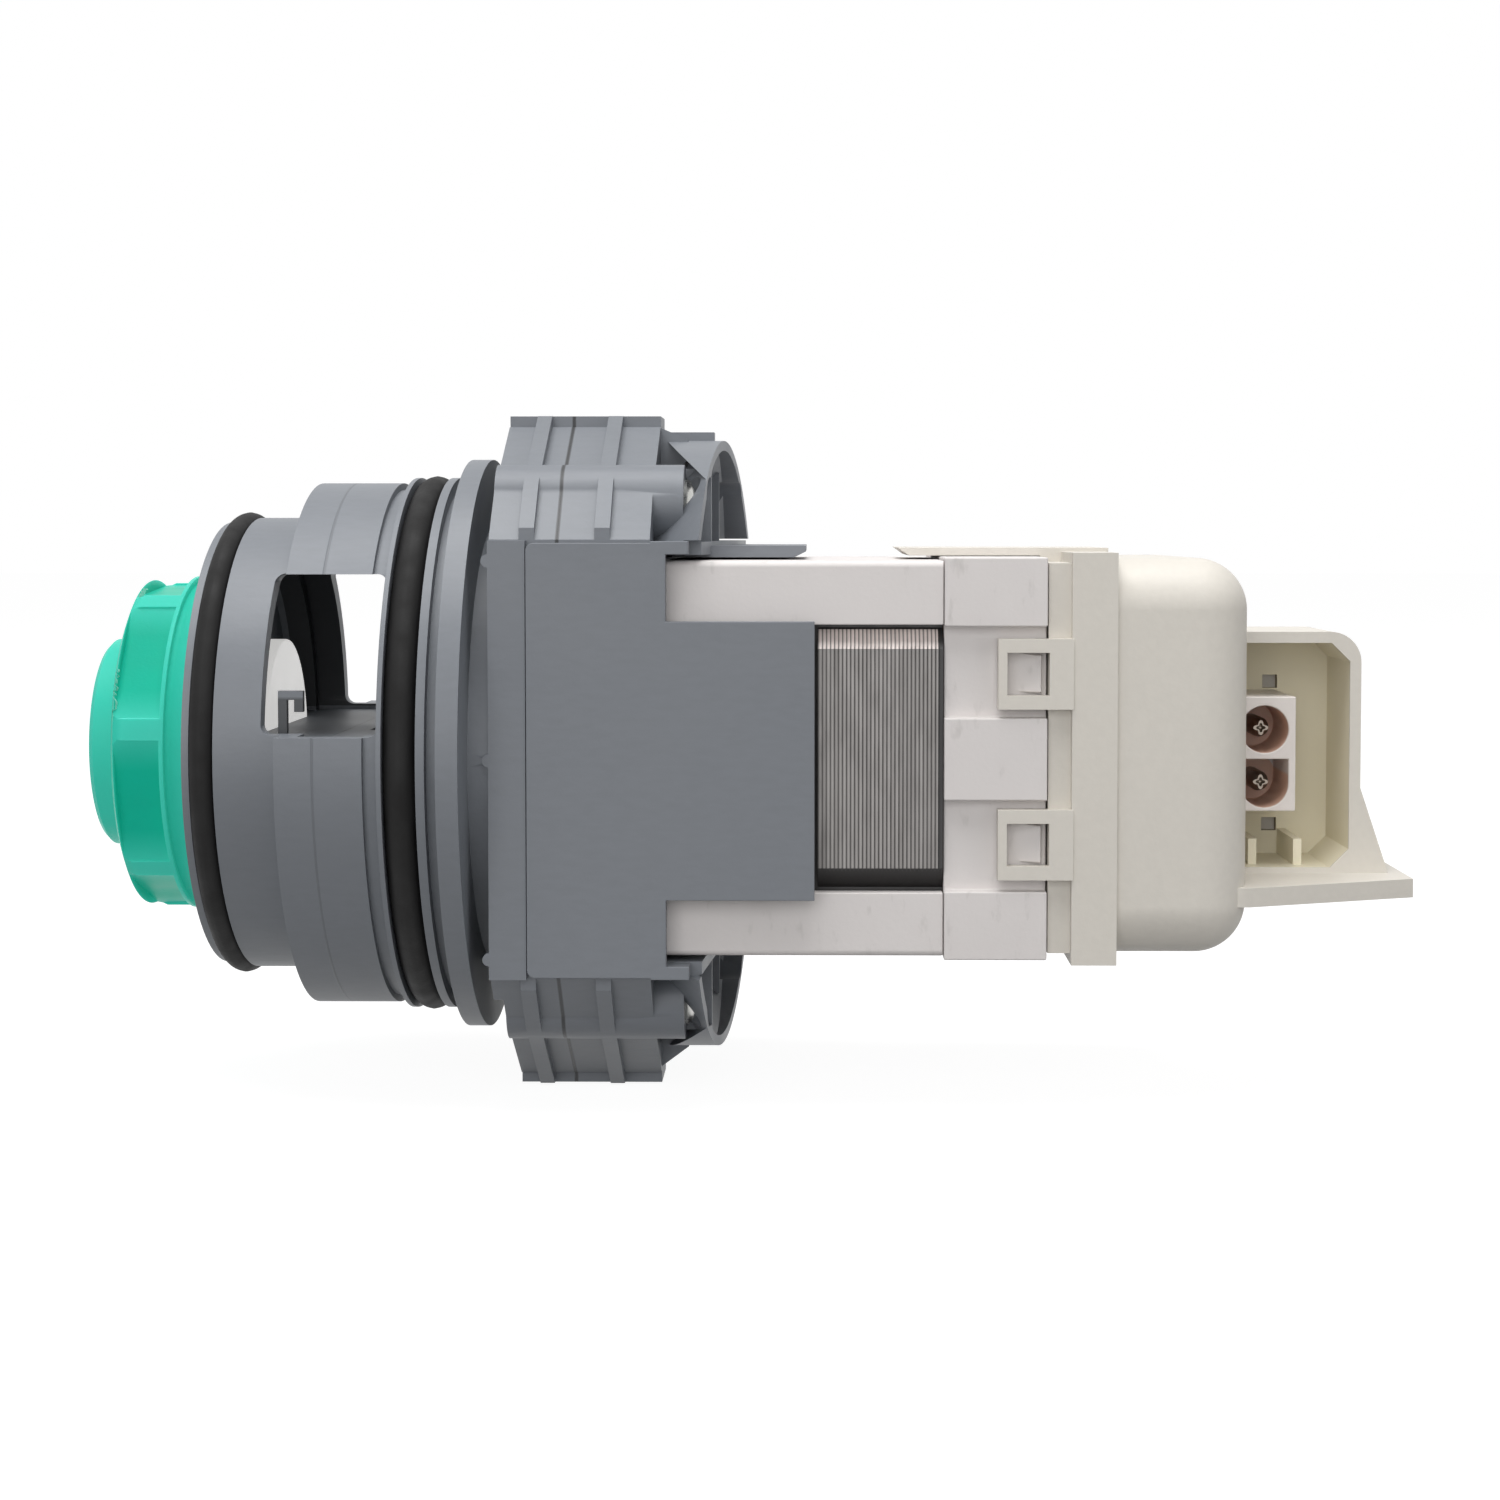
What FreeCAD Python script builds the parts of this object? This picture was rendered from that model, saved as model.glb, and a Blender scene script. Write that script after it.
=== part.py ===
import FreeCAD, Part
import math
import os
import Sketcher

# Dishwasher pump motor assembly. Millimetres. The pump axis is X and +Z is up. The origin lies on
# the axis at the parting line of the large spigot; the nozzle points to -X, the cover to +X, and
# the connector opens to -Y.

DIMENSIONS = {
    # Plug-in spigot and its two ring grooves
    "spigot_radius": 34.5,
    "spigot_front_length": 5.5,
    "spigot_rear_length": 5.2,
    "relief_width": 1.8,
    "relief_depth": 0.9,
    "spigot_wall": 2.4,
    "barrel_radius": 29.9,
    "barrel_length": 8.4,
    "barrel_bore_radius": 25.6,
    "front_lip_radius": 29.3,
    "front_lip_width": 0.9,
    "front_wall": 2.0,
    "front_ring_radius": 30.65,
    "front_ring_section": 3.0,
    "rear_ring_radius": 35.45,
    "rear_ring_section": 4.05,
    "ring_play": 0.1,
    "rear_bore_radius": 29.2,
    "land_radius": 35.2,
    "front_land_width": 0.6,
    "rear_land_width": 1.1,
    "drain_width": 1.3,
    "drain_radius": 33.5,
    "flange_radius": 37.6,
    "flange_width": 3.05,
    "flange_bevel": 0.35,
    "neck_radius": 28.8,
    "neck_length": 2.6,
    # Windows, web and suction throat inside the spigot
    "window_front": 8.0,
    "window_rear": 6.9,
    "window_sill": 3.2,
    "window_head": 22.8,
    "window_corner": 1.2,
    "bore_step_setback": 0.4,
    "web_seat": 0.6,
    "join_depth": 0.3,
    "web_top": 2.4,
    "web_thickness": 2.0,
    "eye_radius": 11.3,
    "throat_wall": 2.2,
    "bulkhead_thickness": 4.0,
    "volute_radius": 24.4,
    "duct_half_width": 11.5,
    "duct_top": 15.5,
    "duct_height": 6.0,
    "post_thickness": 1.1,
    "post_height": 6.0,
    "post_reach": 2.0,
    "post_inset": 1.0,
    "post_hook": 2.6,
    # Six-sided casing
    "front_shell_length": 8.4,
    "rear_shell_length": 11.4,
    "casing_half_width": 29.3,
    "casing_shoulder": 27.0,
    "casing_top": 43.2,
    "casing_bottom": 45.0,
    "casing_knee_y": 22.0,
    "casing_knee_z": 34.3,
    "casing_flat": 5.0,
    "flat_recess": 1.55,
    "panel_drop": 1.45,
    "cavity_drop": 7.6,
    "cavity_half_width": 24.6,
    "casing_wall": 2.4,
    "front_notch_depth": 1.2,
    "front_notch_height": 30.3,
    "strip_width": 4.6,
    "front_rib_start": 3.7,
    "front_rib_width": 1.9,
    "rear_rib_start": 4.6,
    "rear_rib_width": 1.9,
    "boss_radius": 5.0,
    "boss_y": 17.2,
    "boss_z": 31.5,
    "boss_overhang": 3.8,
    "pip_radius": 0.8,
    "pip_spacing": 24.5,
    "pip_depth": 2.0,
    "top_rib_half_width": 4.2,
    # Gasket and screws
    "gasket_width": 0.9,
    "gasket_depth": 0.8,
    "screw_radius": 1.5,
    "screw_head_radius": 3.15,
    "screw_head_height": 1.2,
    "screw_grip": 21.0,
    "screw_hole_play": 0.2,
    "screw_access_play": 0.3,
    "pilot_play": 0.02,
    "pilot_spare": 0.6,
    "gasket_offset": 0.9,
    "gasket_play": 0.05,
    # Rear skirt and its arm
    "skirt_radius": 40.1,
    "skirt_wall": 1.3,
    "skirt_length": 8.3,
    "skirt_root_radius": 33.5,
    "skirt_cone_length": 6.6,
    "skirt_crown_setback": 0.7,
    "skirt_crown_angle": 47.0,
    "skirt_gusset_half_width": 4.8,
    "skirt_gusset_top": 41.8,
    "skirt_gusset_bottom": 43.0,
    "skirt_gusset_length": 3.6,
    "skirt_slant": 4.5,
    "skirt_rib_y": 13.0,
    "skirt_rib_height": 36.1,
    "skirt_longest": 13.3,
    "skirt_root_depth": 1.95,
    "skirt_rib_length": 7.0,
    "shelf_height": 25.2,
    "shelf_thickness": 1.6,
    "shelf_half_width": 26.0,
    "arm_length": 19.1,
    "arm_half_width": 16.0,
    "arm_thickness": 1.5,
    "arm_height": 24.8,
    "tab_length": 6.9,
    "tab_half_width": 1.6,
    "tab_height": 1.1,
    "tab_root": 0.8,
    "arm_setback": 0.6,
    # Hub with seal and front bearing
    "hub_radius": 11.0,
    "hub_front": 3.4,
    "hub_length": 10.6,
    "seat_radius": 7.4,
    "seat_depth": 2.8,
    "seat_thickness": 2.6,
    "bearing_radius": 8.0,
    "bearing_length": 5.6,
    "press_play": 0.02,
    "shaft_clearance": 0.6,
    "hub_web": 1.6,
    # Motor bracket
    "plate_face": 29.6,
    "plate_thickness": 1.75,
    "plate_half_height": 26.7,
    "plate_front_gap": 0.1,
    "plate_length": 17.1,
    "tongue_length": 18.2,
    "tongue_half_height": 17.1,
    "plate_corner": 1.0,
    "bracket_web": 1.6,
    "bracket_gap": 0.1,
    "lip_length": 2.8,
    "lip_depth": 3.4,
    "lip_height": 1.6,
    # Stator frame
    "frame_half_width": 26.0,
    "frame_half_height": 24.5,
    "frame_wall": 2.0,
    "frame_side_wall": 2.3,
    "frame_pad": 1.75,
    "frame_pad_half_height": 12.0,
    "frame_corner": 0.8,
    "frame_pad_start": 1.0,
    "frame_pad_setback": 2.0,
    "window_half_height": 16.6,
    # Laminated core, windings and rotor
    "sheet_thickness": 0.5,
    "sheet_count": 31,
    "sheet_line_width": 0.12,
    "sheet_line_depth": 0.25,
    "core_end_gap": 0.4,
    "core_window_lead": 1.0,
    "core_half_width": 25.3,
    "core_flat": 13.6,
    "core_step_height": 16.2,
    "core_play": 0.2,
    "yoke_inside": 19.4,
    "pole_half_width": 4.5,
    "pole_shoe_radius": 13.2,
    "stator_bore": 11.0,
    "slot_opening": 3.0,
    "pole_count": 4,
    "coil_half_width": 9.4,
    "coil_overhang": 4.0,
    "air_gap": 0.7,
    "magnet_thickness": 3.1,
    "magnet_overhang": 1.0,
    "rotor_core_overhang": 2.0,
    "shaft_radius": 4.0,
    "running_fit": 0.03,
    # White end cap
    "cap_length": 12.7,
    "cap_half_width": 24.6,
    "cap_half_height": 24.9,
    "cap_block_face": 26.4,
    "cap_block_edge": 16.4,
    "cap_middle_half_height": 5.1,
    "cap_wall": 2.2,
    "cap_bearing_radius": 7.0,
    "cap_bearing_length": 5.0,
    "cap_bearing_wall": 2.2,
    "catch_height": 1.1,
    "catch_length": 3.8,
    # Beige rear cover
    "cover_gap": 0.2,
    "cover_flange_length": 2.8,
    "cover_flange_half_width": 25.2,
    "cover_flange_half_height": 24.2,
    "collar_length": 5.6,
    "collar_half_width": 26.6,
    "collar_half_height": 25.5,
    "dome_length": 16.9,
    "dome_half_width": 25.8,
    "dome_half_height": 24.8,
    "dome_corner": 6.5,
    "cover_wall": 2.0,
    "loop_length": 6.3,
    "loop_bar": 1.1,
    "loop_thickness": 2.0,
    "loop_low": 6.2,
    "loop_high": 14.9,
    "loop_rail": 1.7,
    "strip_length": 21.0,
    "strip_thickness": 1.0,
    "strip_half_width": 12.0,
    "strip_slope": 1.4,
    # Connector hood on the cover
    "hood_length": 16.7,
    "hood_mouth": 9.0,
    "hood_depth": 15.0,
    "hood_floor": 3.0,
    "hood_top": 15.1,
    "hood_bottom": 16.3,
    "hood_wall": 1.45,
    "hood_corner": 4.0,
    "hood_inner_corner": 2.4,
    "tray_thickness": 2.4,
    "tray_reach": 22.4,
    "tray_near": 23.5,
    "tray_near_end": 14.4,
    "gusset_top": 5.2,
    "gusset_reach": 3.7,
    "gusset_thickness": 1.5,
    "guide_rib_height": 3.4,
    "guide_rib_width": 1.1,
    "guide_rib_left": 2.6,
    "guide_rib_right": 8.5,
    # Connector block and pins
    "block_length": 8.0,
    "block_low": 8.2,
    "block_high": 6.7,
    "block_gap": 0.1,
    "cavity_radius": 3.08,
    "cavity_depth": 11.0,
    "cavity_inset": 4.0,
    "cavity_shoulder": 3.24,
    "latch_slot_start": 6.4,
    "latch_slot_length": 2.0,
    "latch_slot_height": 1.8,
    "latch_slot_depth": 1.5,
    "latch_slot_upper": 6.9,
    "latch_slot_lower": 12.5,
    "upper_cavity": 2.44,
    "lower_cavity": 4.67,
    "pin_radius": 1.3,
    "pin_bore": 0.5,
    "pin_length": 8.0,
    # Nozzle
    "nozzle_disc_radius": 13.7,
    "nozzle_disc_length": 4.8,
    "nozzle_bore": 9.6,
    "nozzle_radius": 22.1,
    "nozzle_body_length": 7.0,
    "nozzle_neck_radius": 21.3,
    "nozzle_flare_radius": 21.9,
    "nozzle_flare_length": 4.1,
    "nozzle_edge": 1.8,
    "nozzle_flat_count": 7,
    "nozzle_flat_depth": 1.9,
    "nozzle_flat_half_width": 8.3,
    "nozzle_flat_lead": 0.6,
    "nozzle_flat_lean": 4.3,
    "nozzle_flat_margin": 1.0,
    "nozzle_wall": 2.0,
    "nozzle_lip_edge": 0.6,
    "nozzle_step": 0.8,
    "nozzle_rim": 1.2,
    "nozzle_recess_depth": 3.0,
    "nozzle_stub_reach": 1.0,
    "insert_radius": 13.7,
    "insert_wall": 1.8,
    "insert_reach": 5.1,
    "insert_end_wall": 1.6,
    "insert_play": 0.05,
    # Impeller, nut and seal
    "impeller_radius": 23.3,
    "impeller_front_gap": 0.8,
    "eye_gap": 0.3,
    "eye_wall": 1.4,
    "eye_length": 4.0,
    "shroud_rise": 3.6,
    "shroud_thickness": 1.4,
    "impeller_width": 15.2,
    "impeller_hub_radius": 6.5,
    "impeller_hub_length": 7.4,
    "blade_count": 6,
    "blade_curve": 17.0,
    "blade_thickness": 1.5,
    "nut_radius": 5.0,
    "nut_length": 4.0,
    "seal_ring_radius": 7.0,
    "seal_ring_length": 1.7,
    "seal_spring_radius": 6.2,
    "seal_gap": 0.1,
    # Electronics
    "board_setback": 4.3,
    "board_thickness": 1.6,
    "board_play": 0.3,
    "capacitor_radius": 8.0,
    "capacitor_length": 13.5,
    "chip_length": 3.2,
    "chip_width": 14.0,
}


class Length:
    """A number that carries the spreadsheet formula it comes from."""

    def __init__(self, number, formula):
        self.number = number
        self.formula = formula

    def __add__(self, other):
        return combined(self, "+", other)

    def __radd__(self, other):
        return combined(other, "+", self)

    def __sub__(self, other):
        return combined(self, "-", other)

    def __rsub__(self, other):
        return combined(other, "-", self)

    def __mul__(self, other):
        return combined(self, "*", other)

    def __rmul__(self, other):
        return combined(other, "*", self)

    def __truediv__(self, other):
        return combined(self, "/", other)

    def __neg__(self):
        return Length(-self.number, "(-%s)" % self.formula)

    def __float__(self):
        return float(self.number)


OPERATIONS = {
    "+": lambda left, right: left + right,
    "-": lambda left, right: left - right,
    "*": lambda left, right: left * right,
    "/": lambda left, right: left / right,
}


def length(value):
    if isinstance(value, Length):
        return value
    return Length(float(value), "(%r)" % float(value))


def combined(left, sign, right):
    left = length(left)
    right = length(right)
    number = OPERATIONS[sign](left.number, right.number)
    return Length(number, "(%s %s %s)" % (left.formula, sign, right.formula))


doc = FreeCAD.newDocument("PumpMotorAssembly")
sheet = doc.addObject("Spreadsheet::Sheet", "Dimensions")
for row, (alias, number) in enumerate(DIMENSIONS.items(), start=1):
    sheet.set("A%d" % row, alias)
    sheet.set("B%d" % row, str(number))
    sheet.setAlias("B%d" % row, alias)
doc.recompute()


def size(alias):
    return Length(float(DIMENSIONS[alias]), "Dimensions.%s" % alias)


# Stations along the axis, from the nozzle to the tray
step_x = -size("spigot_front_length")
front_groove_rear_x = step_x - size("barrel_length")
front_groove_x = front_groove_rear_x - size("front_ring_section") - size("ring_play")
front_x = front_groove_x - size("front_lip_width")
front_wall_x = front_x + size("front_wall")
relief_x = size("spigot_rear_length")
relief_rear_x = relief_x + size("relief_width")
rear_groove_x = relief_rear_x + size("front_land_width")
rear_groove_rear_x = rear_groove_x + size("rear_ring_section") + size("ring_play")
land_rear_x = rear_groove_rear_x + size("rear_land_width")
flange_x = land_rear_x + size("drain_width")
flange_rear_x = flange_x + size("flange_width")
casing_x = flange_rear_x + size("neck_length")
parting_x = casing_x + size("front_shell_length")
casing_rear_x = parting_x + size("rear_shell_length")
back_wall_x = casing_rear_x - size("casing_wall")
bulkhead_x = land_rear_x
bore_step_x = relief_x - size("bore_step_setback")
neck_rear_x = casing_x + size("join_depth")
volute_x = bulkhead_x + size("bulkhead_thickness")
boss_rear_x = casing_rear_x + size("boss_overhang")
hub_x = casing_rear_x - size("hub_front")
hub_rear_x = hub_x + size("hub_length")
bearing_x = hub_x + size("seat_depth") + size("hub_web")
plate_x = casing_x + size("strip_width") + size("plate_front_gap")
plate_rear_x = plate_x + size("plate_length")
tongue_rear_x = plate_rear_x + size("tongue_length")
web_x = casing_rear_x + size("bracket_gap")
frame_x = web_x + size("bracket_web") + size("bracket_gap")
core_window_x = tongue_rear_x - size("core_window_lead")
core_x = tongue_rear_x + size("core_end_gap")
core_length = size("sheet_thickness") * size("sheet_count")
core_rear_x = core_x + core_length
cap_x = core_rear_x + size("bracket_gap")
cap_rear_x = cap_x + size("cap_length")
cover_x = cap_rear_x + size("cover_gap")
collar_x = cover_x + size("cover_flange_length")
dome_x = collar_x + size("collar_length")
dome_rear_x = dome_x + size("dome_length")
hood_rear_x = dome_rear_x + size("hood_length")
recess_x = dome_rear_x + size("block_gap")
nozzle_rear_x = front_x
nozzle_flare_x = nozzle_rear_x - size("nozzle_flare_length")
nozzle_body_x = nozzle_flare_x - size("nozzle_body_length")
nozzle_front_x = nozzle_body_x - size("nozzle_disc_length")
insert_rear_x = front_wall_x + size("insert_reach")

# Radii and heights shared by pieces that meet
front_floor_radius = size("front_ring_radius") - size("front_ring_section")
rear_floor_radius = size("rear_ring_radius") - size("rear_ring_section")
spigot_bore_radius = size("spigot_radius") - size("spigot_wall")
barrel_inside = size("barrel_radius") - size("spigot_wall")
flat_y = size("casing_half_width") - size("flat_recess")
plate_inside = size("plate_face") - size("plate_thickness")
slope_rise = size("casing_top") - size("casing_shoulder")
slope_run = size("casing_half_width") - size("casing_flat")
slope = slope_rise / slope_run
knee_rise = size("casing_knee_z") - size("casing_shoulder")
knee_slope = knee_rise / (size("casing_half_width") - size("casing_knee_y"))
web_bottom = size("web_top") - size("web_thickness")
shaft_hole = size("shaft_radius") + size("shaft_clearance")
shelf_top = size("shelf_height") + size("shelf_thickness")
frame_inside_y = size("frame_half_width") - size("frame_side_wall")
frame_inside_z = size("frame_half_height") - size("frame_wall")
magnet_radius = size("stator_bore") - size("air_gap")
rotor_core_radius = magnet_radius - size("magnet_thickness")
impeller_x = volute_x + size("impeller_front_gap")
impeller_rear_x = impeller_x + size("impeller_width") - size("eye_length") + size("impeller_front_gap")
board_x = collar_x + size("board_setback") - size("cover_flange_length")
tray_bottom = size("hood_bottom") + size("tray_thickness")


def new_body(label):
    body = doc.addObject("PartDesign::Body", label)
    body.Label = label
    body.AllowCompound = True
    body.Placement = FreeCAD.Placement()
    return body


def origin_feature(body, role):
    for feature in body.Origin.OriginFeatures:
        if feature.Role == role:
            return feature
    raise ValueError(role)


def new_sketch(body, name, role, across=None, up=None, out=None):
    sketch = body.newObject("Sketcher::SketchObject", name)
    sketch.AttachmentSupport = [(origin_feature(body, role), "")]
    sketch.MapMode = "FlatFace"
    for axis, shift in (("x", across), ("y", up), ("z", out)):
        if shift is not None:
            sketch.setExpression("AttachmentOffset.Base.%s" % axis, length(shift).formula)
    return sketch


def bind(sketch, kind, places, value):
    value = length(value)
    index = sketch.addConstraint(Sketcher.Constraint(kind, *places, value.number))
    sketch.setExpression("Constraints[%d]" % index, value.formula)


def draw_polygon(sketch, points):
    first = sketch.GeometryCount
    count = len(points)
    corners = [FreeCAD.Vector(float(x), float(y), 0) for x, y in points]
    for index in range(count):
        sketch.addGeometry(Part.LineSegment(corners[index], corners[(index + 1) % count]), False)
    for index in range(count):
        this = first + index
        following = first + (index + 1) % count
        sketch.addConstraint(Sketcher.Constraint("Coincident", this, 2, following, 1))
    for index, (x, y) in enumerate(points):
        bind(sketch, "DistanceX", (-1, 1, first + index, 1), x)
        bind(sketch, "DistanceY", (-1, 1, first + index, 1), y)


def draw_circle(sketch, x, y, radius):
    index = sketch.GeometryCount
    centre = FreeCAD.Vector(float(x), float(y), 0)
    sketch.addGeometry(Part.Circle(centre, FreeCAD.Vector(0, 0, 1), float(radius)), False)
    bind(sketch, "DistanceX", (-1, 1, index, 3), x)
    bind(sketch, "DistanceY", (-1, 1, index, 3), y)
    bind(sketch, "Radius", (index,), radius)


def draw(sketch, outline):
    if isinstance(outline, tuple):
        draw_circle(sketch, *outline)
    else:
        draw_polygon(sketch, outline)


def rectangle(x_low, x_high, y_low, y_high):
    return [(x_low, y_low), (x_high, y_low), (x_high, y_high), (x_low, y_high)]


def centred(half_x, half_y):
    return rectangle(-half_x, half_x, -half_y, half_y)


def circle(x, y, radius):
    return (x, y, radius)


def extrude(body, name, role, low, high, outlines, removes=False):
    """Pads or pockets outlines drawn square to one axis, from low to high along that axis."""
    low = length(low)
    high = length(high)
    if role == "XZ_Plane":
        start = -low if removes else -high
    else:
        start = high if removes else low
    sketch = new_sketch(body, name + "Sketch", role, out=start)
    for outline in outlines:
        draw(sketch, outline)
    before = body.Shape.Volume if body.Shape.Solids else 0
    feature = body.newObject("PartDesign::Pocket" if removes else "PartDesign::Pad", name)
    feature.Profile = sketch
    feature.setExpression("Length", (high - low).formula)
    doc.recompute()
    check_change(body, feature, before, removes)
    return feature


def check_change(body, feature, before, removes):
    after = body.Shape.Volume
    if removes and after > before - 1e-6:
        raise RuntimeError("%s in %s cuts nothing" % (feature.Label, body.Label))
    if not removes and after < before + 1e-6:
        raise RuntimeError("%s in %s adds nothing" % (feature.Label, body.Label))


def pad_x(body, name, low, high, *outlines):
    return extrude(body, name, "YZ_Plane", low, high, outlines)


def pad_y(body, name, low, high, *outlines):
    return extrude(body, name, "XZ_Plane", low, high, outlines)


def pad_z(body, name, low, high, *outlines):
    return extrude(body, name, "XY_Plane", low, high, outlines)


def cut_x(body, name, low, high, *outlines):
    return extrude(body, name, "YZ_Plane", low, high, outlines, removes=True)


def cut_y(body, name, low, high, *outlines):
    return extrude(body, name, "XZ_Plane", low, high, outlines, removes=True)


def cut_z(body, name, low, high, *outlines):
    return extrude(body, name, "XY_Plane", low, high, outlines, removes=True)


def spin(body, name, outline, removes=False, shift_y=None, shift_z=None):
    """Turns a profile of (x, radius) points about the pump axis, or about a line beside it."""
    sketch = new_sketch(body, name + "Sketch", "XY_Plane", up=shift_y, out=shift_z)
    draw_polygon(sketch, outline)
    before = body.Shape.Volume if body.Shape.Solids else 0
    feature = body.newObject("PartDesign::Groove" if removes else "PartDesign::Revolution", name)
    feature.Profile = sketch
    feature.ReferenceAxis = (sketch, ["H_Axis"])
    feature.Angle = 360
    doc.recompute()
    check_change(body, feature, before, removes)
    return feature


def turned_copies(body, feature, count):
    pattern = body.newObject("PartDesign::PolarPattern", feature.Name + "Pattern")
    pattern.Originals = [feature]
    pattern.Axis = (origin_feature(body, "X_Axis"), [""])
    pattern.Angle = 360
    pattern.setExpression("Occurrences", count.formula)
    body.Tip = pattern
    doc.recompute()
    return pattern


def round_edges(body, name, radius, chosen):
    """Fillets the edges of the body whose two ends satisfy the given test."""
    base = body.Tip
    names = []
    for index, edge in enumerate(base.Shape.Edges, start=1):
        ends = [vertex.Point for vertex in edge.Vertexes]
        if len(ends) == 2 and chosen(ends[0], ends[1]):
            names.append("Edge%d" % index)
    if not names:
        raise RuntimeError("%s in %s finds no edge" % (name, body.Label))
    fillet = body.newObject("PartDesign::Fillet", name)
    fillet.Base = (base, names)
    fillet.setExpression("Radius", radius.formula)
    doc.recompute()
    return fillet


def near(value, target):
    return abs(value - float(target)) < 0.01


def along(first, second, axis):
    """True for an edge that runs parallel to one axis."""
    others = [name for name in "xyz" if name != axis]
    return all(near(getattr(first, name), getattr(second, name)) for name in others)


# Casing outline: flat near and far sides, slopes with a knee over the bosses, and narrow flats at
# the top and the bottom
def casing_outline(half_width, drop):
    knee_y = size("casing_knee_y")
    knee_z = size("casing_knee_z") - drop
    shoulder = knee_z - (half_width - knee_y) * knee_slope
    top = size("casing_top") - drop
    bottom = drop - size("casing_bottom")
    flat = size("casing_flat")
    return [
        (half_width, -shoulder),
        (half_width, shoulder),
        (knee_y, knee_z),
        (flat, top),
        (-flat, top),
        (-knee_y, knee_z),
        (-half_width, shoulder),
        (-half_width, -shoulder),
        (-knee_y, -knee_z),
        (-flat, bottom),
        (flat, bottom),
        (knee_y, -knee_z),
    ]


# Outline of the impeller chamber and its gasket: straight slopes that pass inside the bosses
def chamber_outline(half_width, drop):
    shoulder = size("casing_shoulder") + (size("casing_half_width") - half_width) * slope - drop
    top = size("casing_top") - drop
    flat = size("casing_flat")
    return [
        (half_width, -shoulder),
        (half_width, shoulder),
        (flat, top),
        (-flat, top),
        (-half_width, shoulder),
        (-half_width, -shoulder),
        (-flat, -top),
        (flat, -top),
    ]


def boss_circles(radius):
    circles = []
    for side in (-1, 1):
        for level in (-1, 1):
            circles.append(circle(side * size("boss_y"), level * size("boss_z"), radius))
    return circles


def gasket_outline(inset):
    drop = size("cavity_drop") - size("gasket_width") + inset
    half_width = size("cavity_half_width") + size("gasket_width") + size("gasket_offset") - inset
    return chamber_outline(half_width, drop - size("gasket_offset"))


# The front housing: spigot, ring grooves, flange, web, suction throat and front casing half
def build_front_housing():
    body = new_body("front_housing")
    spigot = size("spigot_radius")
    land = size("land_radius")
    flange = size("flange_radius")
    spin(body, "Spigot", [
        (front_x, 0),
        (front_x, size("front_lip_radius")),
        (front_groove_x, size("front_lip_radius")),
        (front_groove_x, front_floor_radius),
        (front_groove_rear_x, front_floor_radius),
        (front_groove_rear_x, size("barrel_radius")),
        (step_x, size("barrel_radius")),
        (step_x, spigot),
        (relief_x, spigot),
        (relief_x, spigot - size("relief_depth")),
        (relief_rear_x, spigot - size("relief_depth")),
        (relief_rear_x, land),
        (rear_groove_x, land),
        (rear_groove_x, rear_floor_radius),
        (rear_groove_rear_x, rear_floor_radius),
        (rear_groove_rear_x, land),
        (land_rear_x, land),
        (land_rear_x, size("drain_radius")),
        (flange_x, size("drain_radius")),
        (flange_x + size("flange_bevel"), flange),
        (flange_rear_x, flange),
        (flange_rear_x, size("neck_radius")),
        (neck_rear_x, size("neck_radius")),
        (neck_rear_x, 0),
    ])
    spin(body, "Chamber", [
        (front_wall_x, 0),
        (front_wall_x, size("barrel_bore_radius")),
        (front_groove_rear_x + size("front_wall"), size("barrel_bore_radius")),
        (front_groove_rear_x + size("front_wall"), barrel_inside),
        (step_x + size("spigot_wall"), barrel_inside),
        (step_x + size("spigot_wall"), spigot_bore_radius),
        (bore_step_x, spigot_bore_radius),
        (bore_step_x, size("rear_bore_radius")),
        (bulkhead_x, size("rear_bore_radius")),
        (bulkhead_x, 0),
    ], removes=True)
    add_web_and_throat(body)
    cut_y(body, "Windows", -size("flange_radius"), size("flange_radius"), rectangle(
        -size("window_front"), size("window_rear"), size("window_sill"), size("window_head")))
    add_front_shell(body)
    round_window_corners(body)
    add_post(body)
    return body


def add_web_and_throat(body):
    seat = size("web_seat")
    narrow = size("barrel_bore_radius") + seat
    middle = barrel_inside + seat
    wide = spigot_bore_radius + seat
    rear = size("rear_bore_radius") + seat
    edge = [
        (front_wall_x, narrow),
        (front_groove_rear_x + size("front_wall"), narrow),
        (front_groove_rear_x + size("front_wall"), middle),
        (step_x + size("spigot_wall"), middle),
        (step_x + size("spigot_wall"), wide),
        (bore_step_x, wide),
        (bore_step_x, rear),
        (bulkhead_x, rear),
    ]
    far_edge = [(x, -y) for x, y in reversed(edge)]
    pad_z(body, "Web", web_bottom, size("web_top"), edge + far_edge)
    throat = size("eye_radius") + size("throat_wall")
    pad_x(body, "Throat", 0, bulkhead_x, circle(0, 0, throat))
    cut_x(body, "ThroatTop", 0, bulkhead_x, rectangle(
        -throat - 0.1, throat + 0.1, size("web_top"), throat + 0.1))
    cut_x(body, "Eye", size("throat_wall"), neck_rear_x, circle(0, 0, size("eye_radius")))
    cut_x(body, "NozzleSeat", front_x, insert_rear_x + size("ring_play"),
          circle(0, 0, size("insert_radius") + size("insert_play")))


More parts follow.
